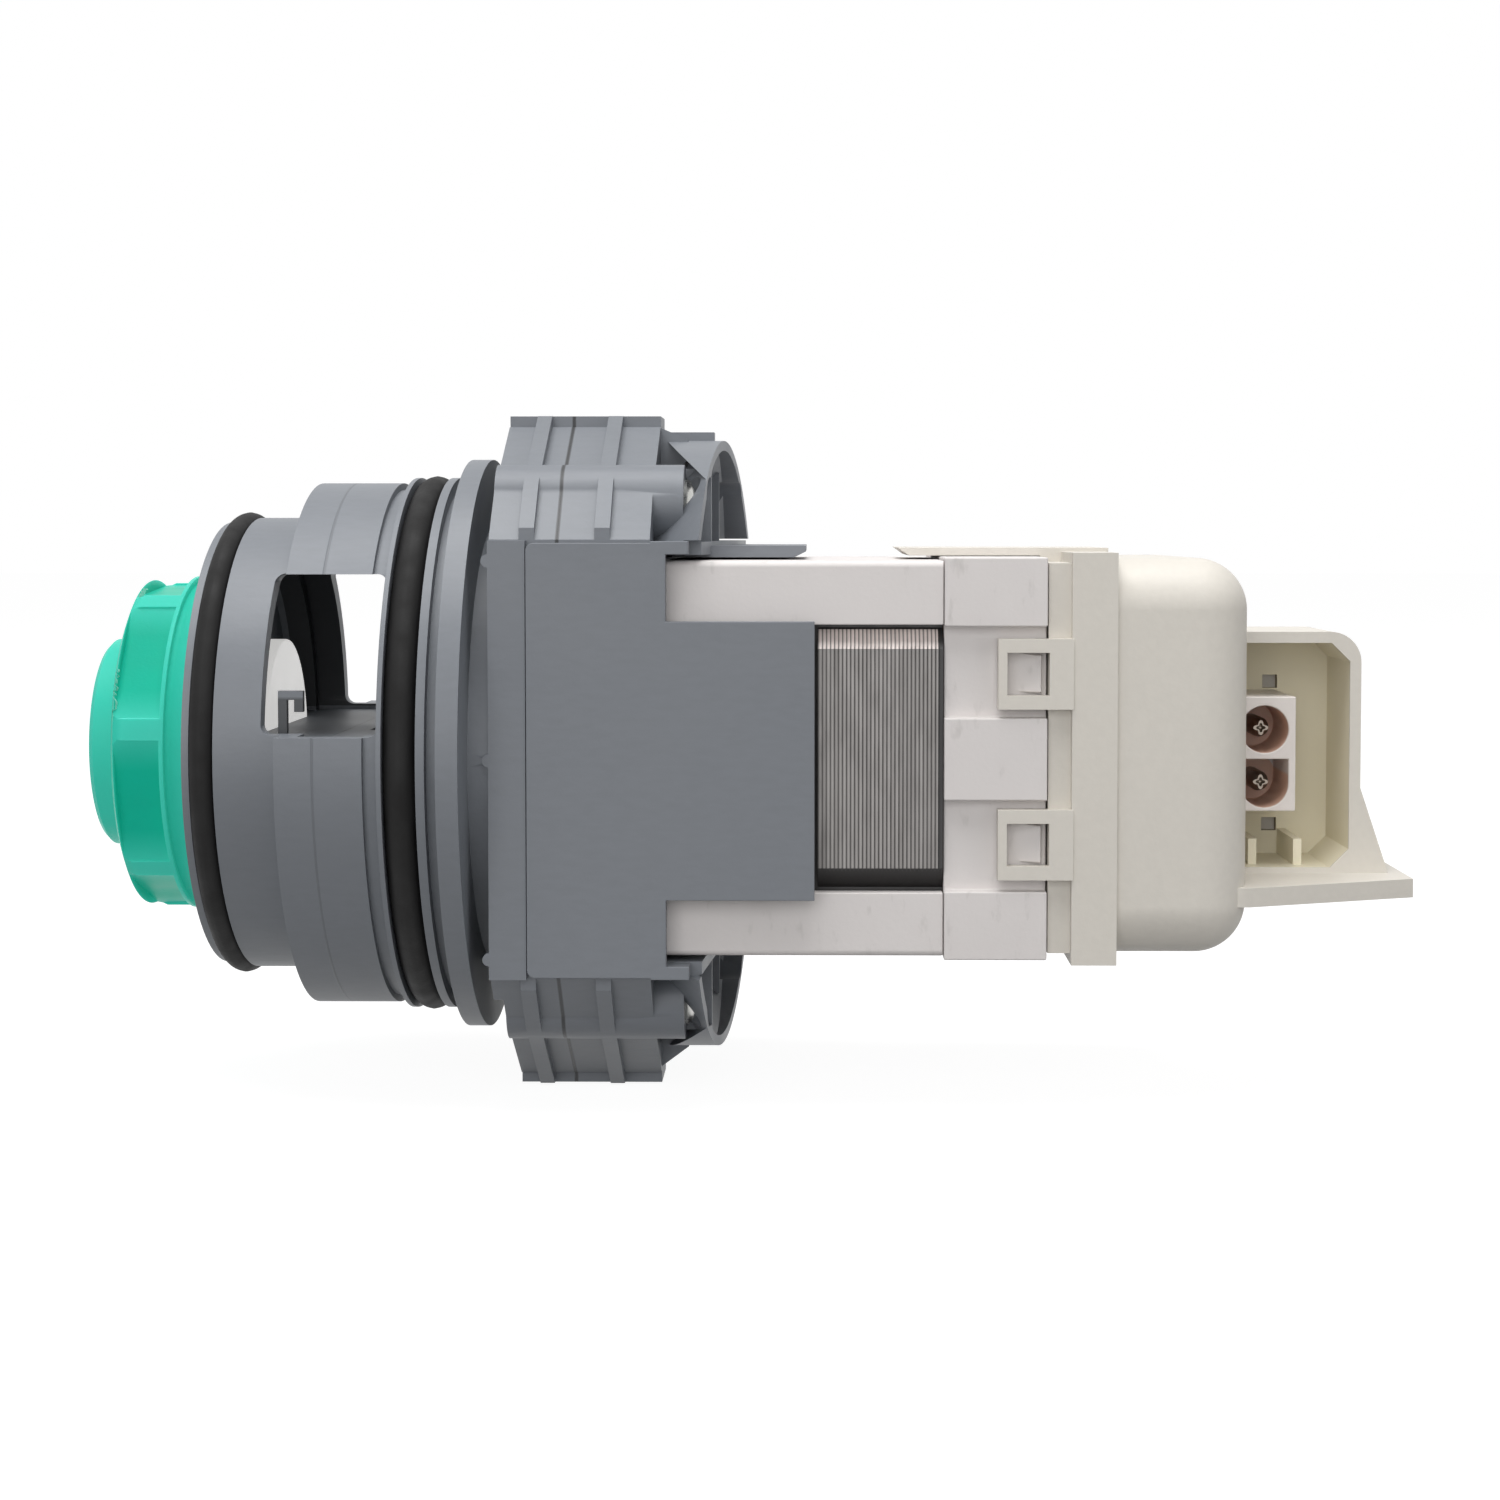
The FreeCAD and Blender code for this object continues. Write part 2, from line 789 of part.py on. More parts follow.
def add_front_shell(body):
    pad_x(body, "Shell", casing_x, parting_x, casing_outline(flat_y, size("panel_drop")))
    rib_x = casing_x + size("front_rib_start")
    pad_x(body, "Rib", rib_x, rib_x + size("front_rib_width"), casing_outline(flat_y, 0))
    pad_x(body, "SideStrip", casing_x, casing_x + size("strip_width"),
          centred(size("casing_half_width"), size("casing_shoulder")))
    rib_y = size("top_rib_half_width")
    pad_x(body, "TopRib", casing_x, parting_x,
          rectangle(-rib_y, rib_y, -size("casing_bottom"), size("casing_top")))
    cut_x(body, "Volute", volute_x, parting_x, circle(0, 0, size("volute_radius")))
    cut_x(body, "VoluteLobes", casing_x + size("casing_wall"), parting_x,
          chamber_outline(size("cavity_half_width"), size("cavity_drop")))
    cut_x(body, "Duct", bulkhead_x, volute_x, rectangle(
        -size("duct_half_width"), size("duct_half_width"),
        -size("duct_top") - size("duct_height"), -size("duct_top")))
    pad_x(body, "Bosses", casing_x, parting_x, *boss_circles(size("boss_radius")))
    notch_y = size("casing_half_width")
    past = size("join_depth")
    cut_x(body, "FrontNotch", casing_x - past, casing_x + size("front_notch_depth"), rectangle(
        -notch_y, notch_y, -size("casing_bottom") - past, -size("front_notch_height")))
    pilot = size("screw_radius") + size("pilot_play")
    pilot_x = boss_rear_x - size("screw_grip") - size("pilot_spare")
    cut_x(body, "PilotHoles", pilot_x, parting_x, *boss_circles(pilot))
    cut_x(body, "GasketGroove", parting_x - size("gasket_depth"), parting_x,
          gasket_outline(0), gasket_outline(size("gasket_width")))
    add_pips(body)


def add_pips(body):
    radius = size("pip_radius")
    face = size("casing_half_width")
    depth = size("pip_depth")
    for name, low, high in (("Near", -face, -face + depth), ("Far", face - depth, face)):
        pad_y(body, "Pips" + name, low, high, *[
            circle(casing_x, level * size("pip_spacing"), radius) for level in (-1, 0, 1)])


def round_window_corners(body):
    def at_corner(first, second):
        if not along(first, second, "y"):
            return False
        on_side = near(first.x, -size("window_front")) or near(first.x, size("window_rear"))
        return on_side and (near(first.z, size("window_sill")) or near(first.z, size("window_head")))

    round_edges(body, "WindowCorners", size("window_corner"), at_corner)


def add_post(body):
    """A small hooked post on the web, just inside the near window."""
    low = size("web_top") - size("join_depth")
    top = size("web_top") + size("post_height")
    inset = size("post_inset")
    left = step_x - inset
    thickness = size("post_thickness")
    reach = left + thickness + size("post_reach")
    face = -barrel_inside + inset
    pad_y(body, "Post", face, face + thickness, [
        (left, low),
        (left + thickness, low),
        (left + thickness, top - thickness),
        (reach - thickness, top - thickness),
        (reach - thickness, top - size("post_hook")),
        (reach, top - size("post_hook")),
        (reach, top),
        (left, top),
    ])


# The rear housing: rear casing half, bosses, hub, skirt, shelves and arm
def build_rear_housing():
    body = new_body("rear_housing")
    pad_x(body, "Shell", parting_x, casing_rear_x, casing_outline(flat_y, size("panel_drop")))
    rib_x = parting_x + size("rear_rib_start")
    pad_x(body, "Rib", rib_x, rib_x + size("rear_rib_width"), casing_outline(flat_y, 0))
    rib_y = size("top_rib_half_width")
    pad_x(body, "TopRib", parting_x, casing_rear_x,
          rectangle(-rib_y, rib_y, -size("casing_bottom"), size("casing_top")))
    cut_x(body, "Volute", parting_x, back_wall_x,
          chamber_outline(size("cavity_half_width"), size("cavity_drop")))
    add_skirt(body)
    pad_x(body, "Bosses", parting_x, boss_rear_x, *boss_circles(size("boss_radius")))
    hole = size("screw_radius") + size("screw_hole_play")
    cut_x(body, "ScrewHoles", parting_x, boss_rear_x, *boss_circles(hole))
    access = size("screw_head_radius") + size("screw_access_play")
    cut_x(body, "ScrewAccess", boss_rear_x, casing_rear_x + size("skirt_longest"),
          *boss_circles(access))
    add_hub(body)
    return body


def add_skirt(body):
    radius = size("skirt_radius")
    inside = radius - size("skirt_wall")
    longest = casing_rear_x + size("skirt_longest")
    join_x = casing_rear_x - size("join_depth")
    cone_x = casing_rear_x + size("skirt_cone_length")
    root = size("skirt_root_radius")
    past = radius + 1
    crown_x = casing_rear_x + size("skirt_crown_setback")
    crown_run = radius * math.tan(math.radians(DIMENSIONS["skirt_crown_angle"]))
    spin(body, "SkirtCrown", [
        (casing_rear_x, root - size("skirt_wall")),
        (casing_rear_x, radius),
        (cone_x, radius),
        (cone_x, inside),
    ])
    cut_y(body, "CrownSlopes", -past, past, [
        (casing_rear_x, -radius),
        (casing_rear_x, radius),
        (crown_x, radius),
        (crown_x + crown_run, 0),
        (crown_x, -radius),
    ])
    spin(body, "Skirt", [
        (casing_rear_x, root - size("skirt_root_depth")),
        (casing_rear_x, root),
        (cone_x, radius),
        (longest, radius),
        (longest, inside),
        (cone_x + size("skirt_wall") / 2, inside),
    ])
    cut_x(body, "SkirtSides", casing_rear_x, longest, centred(past, size("shelf_height")))
    lip_inside = size("plate_face") - size("lip_depth") - size("bracket_gap")
    lip_top = size("shelf_height") + size("lip_height") + 2 * size("bracket_gap")
    cut_x(body, "LipSpace", casing_rear_x, longest,
          rectangle(-past, -lip_inside, -lip_top, lip_top),
          rectangle(lip_inside, past, -lip_top, lip_top))
    rib_y = size("skirt_rib_y")
    half = size("skirt_wall") / 2
    rise = size("skirt_rib_height")
    rib_end = casing_rear_x + size("skirt_rib_length")
    for name, side in (("Near", -1), ("Far", 1)):
        for where, level in (("Top", 1), ("Bottom", -1)):
            low = side * rib_y - half
            heights = sorted([level * size("shelf_height"), level * rise], key=float)
            pad_x(body, "Rib" + where + name, join_x, rib_end,
                  rectangle(low, low + 2 * half, *heights))
    shelf = size("shelf_half_width")
    for where, low in (("Top", size("shelf_height")), ("Bottom", -shelf_top)):
        pad_x(body, "Shelf" + where, join_x, longest,
              rectangle(-shelf, shelf, low, low + size("shelf_thickness")))
    cut_skirt_rim(body, longest)
    arm = size("arm_half_width")
    arm_x = casing_rear_x + size("bracket_web") + size("arm_setback")
    arm_end = casing_rear_x + size("arm_length")
    arm_low = size("arm_height")
    arm_high = arm_low + size("arm_thickness")
    pad_y(body, "Arm", -arm, arm, [
        (arm_x, arm_low),
        (arm_end - size("arm_thickness"), arm_low),
        (arm_end, (arm_low + arm_high) / 2),
        (arm_end, arm_high),
        (arm_x, arm_high),
    ])
    gusset_x = casing_rear_x + size("skirt_gusset_length")
    gusset_low = radius - 2 * size("skirt_wall")
    gusset_y = size("skirt_gusset_half_width")
    for name, sign, height in (("Top", 1, size("skirt_gusset_top")),
                               ("Bottom", -1, size("skirt_gusset_bottom"))):
        pad_y(body, "Gusset" + name, -gusset_y, gusset_y, [
            (join_x, sign * root),
            (gusset_x, sign * gusset_low),
            (gusset_x, sign * radius),
            (join_x, sign * height),
        ])
    tab = size("tab_half_width")
    pad_x(body, "TopTab", join_x, casing_rear_x + size("tab_length"),
          rectangle(-tab, tab, radius - size("tab_root"), radius + size("tab_height")))


def cut_skirt_rim(body, longest):
    """Trims the skirt along a plane that leans back towards the far side."""
    reach = size("skirt_radius") + size("skirt_wall")
    lean = math.tan(math.radians(DIMENSIONS["skirt_slant"]))
    rim = casing_rear_x + size("skirt_length")
    past = longest + 1
    cut_z(body, "SkirtRim", -reach, reach, [
        (rim - reach * lean, -reach),
        (past, -reach),
        (past, reach),
        (rim + reach * lean, reach),
    ])


def add_hub(body):
    pad_x(body, "Hub", hub_x, hub_rear_x, circle(0, 0, size("hub_radius")))
    seat_rear_x = hub_x + size("seat_depth")
    cut_x(body, "SealPocket", hub_x, seat_rear_x, circle(0, 0, size("seat_radius") + size("gasket_play")))
    cut_x(body, "ShaftHole", hub_x, hub_rear_x, circle(0, 0, shaft_hole))
    cut_x(body, "BearingPocket", bearing_x, hub_rear_x,
          circle(0, 0, size("bearing_radius") + size("press_play")))


def build_gasket():
    body = new_body("housing_gasket")
    inset = size("gasket_play")
    pad_x(body, "Ring", parting_x - size("gasket_depth") + size("pilot_play"), parting_x,
          gasket_outline(inset), gasket_outline(size("gasket_width") - inset))
    return body


def build_ring(label, centre_x, outside_radius, section):
    body = new_body(label)
    centre_radius = outside_radius - section / 2
    sketch = new_sketch(body, "Section", "XY_Plane")
    draw_circle(sketch, centre_x, centre_radius, section / 2 - size("press_play") / 2)
    ring = body.newObject("PartDesign::Revolution", "Ring")
    ring.Profile = sketch
    ring.ReferenceAxis = (sketch, ["H_Axis"])
    ring.Angle = 360
    doc.recompute()
    return body


def build_rings():
    section = size("front_ring_section")
    build_ring("front_o_ring", front_groove_rear_x - section / 2 - size("ring_play") / 2,
               size("front_ring_radius"), section)
    section = size("rear_ring_section")
    build_ring("rear_o_ring", rear_groove_x + section / 2 + size("ring_play") / 2,
               size("rear_ring_radius"), section)


def build_screws():
    body = new_body("housing_screws")
    pad_x(body, "Shanks", boss_rear_x - size("screw_grip"), boss_rear_x,
          *boss_circles(size("screw_radius")))
    pad_x(body, "Heads", boss_rear_x, boss_rear_x + size("screw_head_height"),
          *boss_circles(size("screw_head_radius")))
    cut_x(body, "Drives", boss_rear_x + size("screw_head_height") / 2,
          boss_rear_x + size("screw_head_height"), *boss_circles(size("screw_radius") * 0.7))
    return body


# The green nozzle: stepped turned body with a ring of shallow flats, and a stub into the insert
def build_nozzle():
    body = new_body("outlet_nozzle")
    bore = size("nozzle_bore")
    edge = size("nozzle_edge")
    body_radius = size("nozzle_radius")
    disc = size("nozzle_disc_radius")
    stub = size("insert_radius") - size("insert_wall") - size("insert_play")
    stub_end_x = front_wall_x + size("nozzle_stub_reach")
    spin(body, "Nozzle", [
        (nozzle_front_x, bore),
        (nozzle_front_x, disc - size("nozzle_lip_edge")),
        (nozzle_front_x + size("nozzle_lip_edge"), disc),
        (nozzle_body_x, disc),
        (nozzle_body_x, body_radius - edge),
        (nozzle_body_x + edge * 0.3, body_radius - edge * 0.3),
        (nozzle_body_x + edge, body_radius),
        (nozzle_flare_x, body_radius),
        (nozzle_flare_x, size("nozzle_neck_radius")),
        (nozzle_flare_x + size("nozzle_step"), size("nozzle_neck_radius")),
        (nozzle_rear_x - size("nozzle_rim"), size("nozzle_flare_radius")),
        (nozzle_rear_x, size("nozzle_flare_radius")),
        (nozzle_rear_x, stub),
        (stub_end_x, stub),
        (stub_end_x, bore),
    ])
    recess_end_x = nozzle_body_x + size("nozzle_recess_depth")
    recess_inside = disc + size("nozzle_step")
    recess_outside = body_radius - 2 * size("nozzle_wall")
    spin(body, "RearRecess", [
        (recess_end_x, recess_inside),
        (recess_end_x, recess_outside),
        (nozzle_rear_x, recess_outside),
        (nozzle_rear_x, recess_inside),
    ], removes=True)
    margin = size("nozzle_flat_margin")
    floor = body_radius - size("nozzle_flat_depth")
    half = size("nozzle_flat_half_width")
    past = body_radius + margin
    lean = math.radians(DIMENSIONS["nozzle_flat_lean"])
    across_y, across_z = half * math.cos(lean), half * math.sin(lean)
    flat_x = nozzle_body_x + size("nozzle_flat_lead")
    flat = cut_x(body, "Flat", flat_x, nozzle_flare_x - margin / 2, [
        (floor * -math.sin(lean) - across_y, floor * math.cos(lean) - across_z),
        (floor * -math.sin(lean) + across_y, floor * math.cos(lean) + across_z),
        (past * -math.sin(lean) + across_y, past * math.cos(lean) + across_z),
        (past * -math.sin(lean) - across_y, past * math.cos(lean) - across_z),
    ])
    turned_copies(body, flat, size("nozzle_flat_count"))
    return body


# The pale insert: a cup whose upper half is closed and whose lower half lets water through
def build_insert():
    body = new_body("nozzle_insert")
    radius = size("insert_radius")
    inside = radius - size("insert_wall")
    pad_x(body, "Cup", front_x + 0.2, insert_rear_x, circle(0, 0, radius))
    cut_x(body, "Bore", front_x + 0.2, insert_rear_x - size("insert_end_wall"), circle(0, 0, inside))
    half = inside * 0.75
    cut_x(body, "Outlet", insert_rear_x - size("insert_end_wall"), insert_rear_x,
          rectangle(-half, half, -inside * 0.6, -0.5))
    return body


# The motor bracket: two stepped side plates, a cross web and four short lips
def build_bracket():
    body = new_body("motor_bracket")
    face = size("plate_face")
    tall = size("plate_half_height")
    low = size("tongue_half_height")
    outline = [
        (plate_x, -tall),
        (plate_rear_x, -tall),
        (plate_rear_x, -low),
        (tongue_rear_x, -low),
        (tongue_rear_x, low),
        (plate_rear_x, low),
        (plate_rear_x, tall),
        (plate_x, tall),
    ]
    web_rear_x = web_x + size("bracket_web")
    web_half_height = size("shelf_height") - 3 * size("bracket_gap")
    pad_x(body, "CrossWeb", web_x, web_rear_x, centred(plate_inside + size("join_depth"), web_half_height))
    cut_x(body, "HubHole", web_x, web_rear_x, circle(0, 0, size("hub_radius") + size("bracket_gap")))
    pad_y(body, "NearPlate", -face, -plate_inside, outline)
    pad_y(body, "FarPlate", plate_inside, face, outline)
    lip_end = plate_rear_x + size("lip_length")
    lip_low = size("shelf_height") + size("bracket_gap")
    lip_high = lip_low + size("lip_height")
    for name, low_y in (("Near", -face), ("Far", face - size("lip_depth"))):
        for where, base in (("Top", lip_low), ("Bottom", -lip_high)):
            pad_x(body, "Lip" + where + name, web_x, lip_end,
                  rectangle(low_y, low_y + size("lip_depth"), base, base + size("lip_height")))

    def at_plate_corner(first, second):
        if not along(first, second, "y"):
            return False
        return near(first.x, plate_x) and near(abs(first.z), tall)

    round_edges(body, "PlateCorners", size("plate_corner"), at_plate_corner)
    return body


# The white stator frame: a box with open sides over the laminations
def build_stator_frame():
    body = new_body("stator_frame")
    half_width = size("frame_half_width")
    half_height = size("frame_half_height")
    pad_x(body, "Box", frame_x, core_rear_x, centred(half_width, half_height))

    def at_long_edge(first, second):
        return along(first, second, "x") and near(abs(first.y), half_width)

    round_edges(body, "LongEdges", size("frame_corner"), at_long_edge)
    pad_face = half_width + size("frame_pad") - size("bracket_gap")
    pad_x(body, "Pads", frame_x + size("frame_pad_start"), tongue_rear_x - size("frame_pad_setback"),
          centred(pad_face, size("frame_pad_half_height")))
    cut_x(body, "Cavity", frame_x + size("frame_wall"), core_rear_x,
          centred(frame_inside_y, frame_inside_z))
    cut_x(body, "HubHole", frame_x, frame_x + size("frame_wall"),
          circle(0, 0, size("hub_radius") + size("bracket_gap")))
    cut_y(body, "CoreWindows", -pad_face, pad_face, rectangle(
        core_window_x, core_rear_x, -size("window_half_height"), size("window_half_height")))
    return body


# The laminated core: stepped outline, four poles, and a fine line between each two sheets
def build_stator_core():
    body = new_body("stator_core")
    wide = size("core_half_width")
    narrow = frame_inside_y - size("core_play")
    tall = frame_inside_z - size("core_play")
    flat = size("core_flat")
    stepped = size("core_step_height")
    outline = [
        (wide, -flat),
        (wide, flat),
        (narrow, stepped),
        (narrow, tall),
        (-narrow, tall),
        (-narrow, stepped),
        (-wide, flat),
        (-wide, -flat),
        (-narrow, -stepped),
        (-narrow, -tall),
        (narrow, -tall),
        (narrow, -stepped),
    ]
    pad_x(body, "Yoke", core_x, core_rear_x, outline)
    add_sheet_lines(body, wide)
    inside = size("yoke_inside")
    pole = size("pole_half_width")
    cut_x(body, "WindingSpace", core_x, core_rear_x, centred(inside, inside))
    pad_x(body, "PolesUpright", core_x, core_rear_x, centred(pole, inside + size("join_depth")))
    pad_x(body, "PolesAcross", core_x, core_rear_x, centred(inside + size("join_depth"), pole))
    pad_x(body, "PoleShoes", core_x, core_rear_x, circle(0, 0, size("pole_shoe_radius")))
    cut_x(body, "RotorBore", core_x, core_rear_x, circle(0, 0, size("stator_bore")))
    add_slot_openings(body)
    return body


def add_slot_openings(body):
    """A gap between each two pole shoes, midway between the poles."""
    slant = math.sqrt(0.5)
    across = size("slot_opening") / 2 * slant
    low = (size("stator_bore") - 1) * slant
    high = (size("pole_shoe_radius") + 1) * slant
    slot = cut_x(body, "SlotOpening", core_x, core_rear_x, [
        (low - across, low + across),
        (low + across, low - across),
        (high + across, high - across),
        (high - across, high + across),
    ])
    turned_copies(body, slot, size("pole_count"))


def add_sheet_lines(body, wide):
    """A groove between two sheets, repeated along the stack on the near and the far side."""
    depth = size("sheet_line_depth")
    half = size("sheet_line_width") / 2
    pitch = size("sheet_thickness")
    height = size("window_half_height")
    first = core_x + pitch
    for name, low in (("Near", -wide), ("Far", wide - depth)):
        line = cut_y(body, "Line" + name, low, low + depth,
                     rectangle(first - half, first + half, -height, height))
        pattern = body.newObject("PartDesign::LinearPattern", "Lines" + name)
        pattern.Originals = [line]
        pattern.Direction = (origin_feature(body, "X_Axis"), [""])
        pattern.setExpression("Length", (core_length - 2 * pitch).formula)
        pattern.setExpression("Occurrences", (size("sheet_count") - 1).formula)
        body.Tip = pattern
        doc.recompute()


def build_windings():
    body = new_body("stator_windings")
    outer = size("coil_half_width")
    inner = size("pole_half_width") + 0.2
    radial_low = size("pole_shoe_radius") + 0.3
    radial_high = size("yoke_inside") - 0.3
    over = size("coil_overhang")
    coil = pad_y(body, "Coil", radial_low, radial_high,
                 rectangle(core_x - over, core_rear_x + over, -outer, outer),
                 rectangle(core_x - 0.2, core_rear_x + 0.2, -inner, inner))
    turned_copies(body, coil, size("pole_count"))
    return body


def build_rotor():
    shaft_radius = size("shaft_radius")
    core = new_body("rotor_core")
    over = size("rotor_core_overhang")
    pad_x(core, "Core", core_x - over, core_rear_x + over,
          circle(0, 0, rotor_core_radius), circle(0, 0, shaft_radius))
    magnet = new_body("rotor_magnet")
    over = size("magnet_overhang")
    pad_x(magnet, "Magnet", core_x - over, core_rear_x + over,
          circle(0, 0, magnet_radius), circle(0, 0, rotor_core_radius))
    shaft = new_body("shaft")
    end = shaft_radius - 0.5
    shaft_front_x = impeller_x
    nut_rear_x = shaft_front_x + size("nut_length") + 0.5
    shaft_rear_x = cap_rear_x - 0.6
    spin(shaft, "Shaft", [
        (shaft_front_x, 0),
        (shaft_front_x, end - 0.5),
        (nut_rear_x, end - 0.5),
        (nut_rear_x, shaft_radius),
        (shaft_rear_x - 0.5, shaft_radius),
        (shaft_rear_x, end),
        (shaft_rear_x, 0),
    ])


def build_bearings():
    bore = size("shaft_radius") + size("running_fit")
    front = new_body("front_bearing")
    pad_x(front, "Bush", bearing_x, bearing_x + size("bearing_length"),
          circle(0, 0, size("bearing_radius")), circle(0, 0, bore))
    rear = new_body("rear_bearing")
    rear_x = cap_rear_x - size("cap_wall") / 2 - size("cap_bearing_length")
    pad_x(rear, "Bush", rear_x, rear_x + size("cap_bearing_length"),
          circle(0, 0, size("cap_bearing_radius")), circle(0, 0, bore))


# The closed impeller: back disc with hub, front shroud with eye ring, curved blades between them
def build_impeller():
    body = new_body("impeller")
    radius = size("impeller_radius")
    eye_outside = size("eye_radius") - size("eye_gap")
    eye_inside = eye_outside - size("eye_wall")
    eye_x = volute_x - size("eye_length") + size("impeller_front_gap")
    thickness = size("shroud_thickness")
    shroud_x = impeller_x + 0.4
    tip_x = shroud_x + size("shroud_rise")
    back_x = impeller_rear_x - thickness
    hub_start_x = back_x - size("impeller_hub_length") + thickness
    shaft_radius = size("shaft_radius")
    spin(body, "BackDisc", [
        (hub_start_x, shaft_radius),
        (hub_start_x, size("impeller_hub_radius") - 0.8),
        (back_x - 1.5, size("impeller_hub_radius") + 0.8),
        (back_x, size("impeller_hub_radius") + 3),
        (back_x, radius),
        (impeller_rear_x, radius),
        (impeller_rear_x, shaft_radius),
    ])
    blade = pad_blade(body, shroud_x, back_x + 0.2, eye_inside)
    turned_copies(body, blade, size("blade_count"))
    spin(body, "FrontShroud", [
        (eye_x, eye_inside),
        (eye_x, eye_outside),
        (shroud_x, eye_outside),
        (tip_x, radius),
        (tip_x + thickness, radius),
        (shroud_x + thickness, eye_inside),
    ])
    clear = radius + 12
    spin(body, "Trim", [
        (eye_x - 1, eye_outside),
        (shroud_x, eye_outside),
        (tip_x, radius),
        (impeller_rear_x + 1, radius),
        (impeller_rear_x + 1, clear),
        (eye_x - 1, clear),
    ], removes=True)
    return body


def pad_blade(body, low, high, inner_radius):
    """One backward-curved blade: a strip of a ring whose centre lies beside the axis."""
    curve = size("blade_curve")
    half = size("blade_thickness") / 2
    sketch = new_sketch(body, "BladeSketch", "YZ_Plane", out=low)
    offset = float(curve) * 0.75
    centre = FreeCAD.Vector(offset, 0, 0)
    normal = FreeCAD.Vector(0, 0, 1)
    start = math.radians(62)
    finish = math.radians(150)
    radii = (curve - half, curve + half)
    for radius in radii:
        ring = Part.Circle(centre, normal, float(radius))
        sketch.addGeometry(Part.ArcOfCircle(ring, start, finish), False)
    ends = []
    for angle in (start, finish):
        for radius in radii:
            ends.append(centre + FreeCAD.Vector(math.cos(angle), math.sin(angle), 0) * float(radius))
    sketch.addGeometry(Part.LineSegment(ends[0], ends[1]), False)
    sketch.addGeometry(Part.LineSegment(ends[2], ends[3]), False)
    for arc, point, line, line_end in ((0, 1, 2, 1), (1, 1, 2, 2), (0, 2, 3, 1), (1, 2, 3, 2)):
        sketch.addConstraint(Sketcher.Constraint("Coincident", arc, point, line, line_end))
    for arc, radius in enumerate(radii):
        bind(sketch, "DistanceX", (-1, 1, arc, 3), curve * 0.75)
        bind(sketch, "DistanceY", (-1, 1, arc, 3), 0)
        bind(sketch, "Radius", (arc,), radius)
    blade = body.newObject("PartDesign::Pad", "Blade")
    blade.Profile = sketch
    blade.setExpression("Length", (high - low).formula)
    doc.recompute()
    return blade


def build_seal_and_nut():
    shaft_radius = size("shaft_radius")
    nut = new_body("impeller_nut")
    across = size("nut_radius")
    corner = [(across * math.cos(math.radians(60 * i)), across * math.sin(math.radians(60 * i)))
              for i in range(6)]
    pad_x(nut, "Hexagon", impeller_x + 0.4, impeller_x + 0.4 + size("nut_length"), corner,
          circle(0, 0, shaft_radius - 1))
    seat = new_body("seal_seat")
    pad_x(seat, "Seat", hub_x + 0.1, hub_x + 0.1 + size("seat_thickness"),
          circle(0, 0, size("seat_radius")), circle(0, 0, shaft_hole))
    ring_rear_x = hub_x + 0.1 - size("seal_gap")
    ring_x = ring_rear_x - size("seal_ring_length")
    ring = new_body("seal_ring")
    pad_x(ring, "Ring", ring_x, ring_rear_x,
          circle(0, 0, size("seal_ring_radius")), circle(0, 0, shaft_radius))
    spring = new_body("seal_spring")
    pad_x(spring, "Spring", impeller_rear_x, ring_x,
          circle(0, 0, size("seal_spring_radius")), circle(0, 0, shaft_radius + 0.3))


# The white end cap: a shallow box with three raised blocks a side and two catches between them
def build_end_cap():
    body = new_body("stator_end_cap")
    half_width = size("cap_half_width")
    half_height = size("cap_half_height")
    block = size("cap_block_face")
    edge = size("cap_block_edge")
    middle = size("cap_middle_half_height")
    pad_x(body, "Box", cap_x, cap_rear_x, centred(half_width, half_height))
    pad_x(body, "Blocks", cap_x, cap_rear_x,
          rectangle(-block, block, edge, half_height),
          rectangle(-block, block, -middle, middle),
          rectangle(-block, block, -half_height, -edge))
    cut_x(body, "Cavity", cap_x, cap_rear_x - size("cap_wall"),
          centred(frame_inside_y - 1, frame_inside_z))
    bearing = size("cap_bearing_radius")
    bearing_front_x = cap_rear_x - size("cap_wall") / 2 - size("cap_bearing_length")
    pad_x(body, "BearingBoss", bearing_front_x, cap_rear_x, circle(0, 0, bearing + size("cap_bearing_wall")))
    cut_x(body, "BearingSeat", bearing_front_x, cap_rear_x - size("cap_wall") / 2,
          circle(0, 0, bearing + size("press_play")))
    cut_x(body, "ShaftHole", cap_rear_x - size("cap_wall") / 2, cap_rear_x,
          circle(0, 0, shaft_hole))
    add_catches(body)
    return body


def add_catches(body):
    """Ramps that the cover's loops snap over."""
    root = size("cap_half_width") - 0.3
    crest = size("cap_half_width") + size("catch_height")
    rear = cap_rear_x - size("loop_bar") + 0.4
    front = rear - size("catch_length")
    rail = size("loop_rail") + 0.3
    for side, sign in (("Near", -1), ("Far", 1)):
        profile = [(front, sign * root), (rear, sign * root), (rear, sign * crest)]
        for where, low in (("Top", size("loop_low") + rail), ("Bottom", -size("loop_high") + rail)):
            high = low + size("loop_high") - size("loop_low") - 2 * rail
            pad_z(body, "Catch" + where + side, low, high, profile)


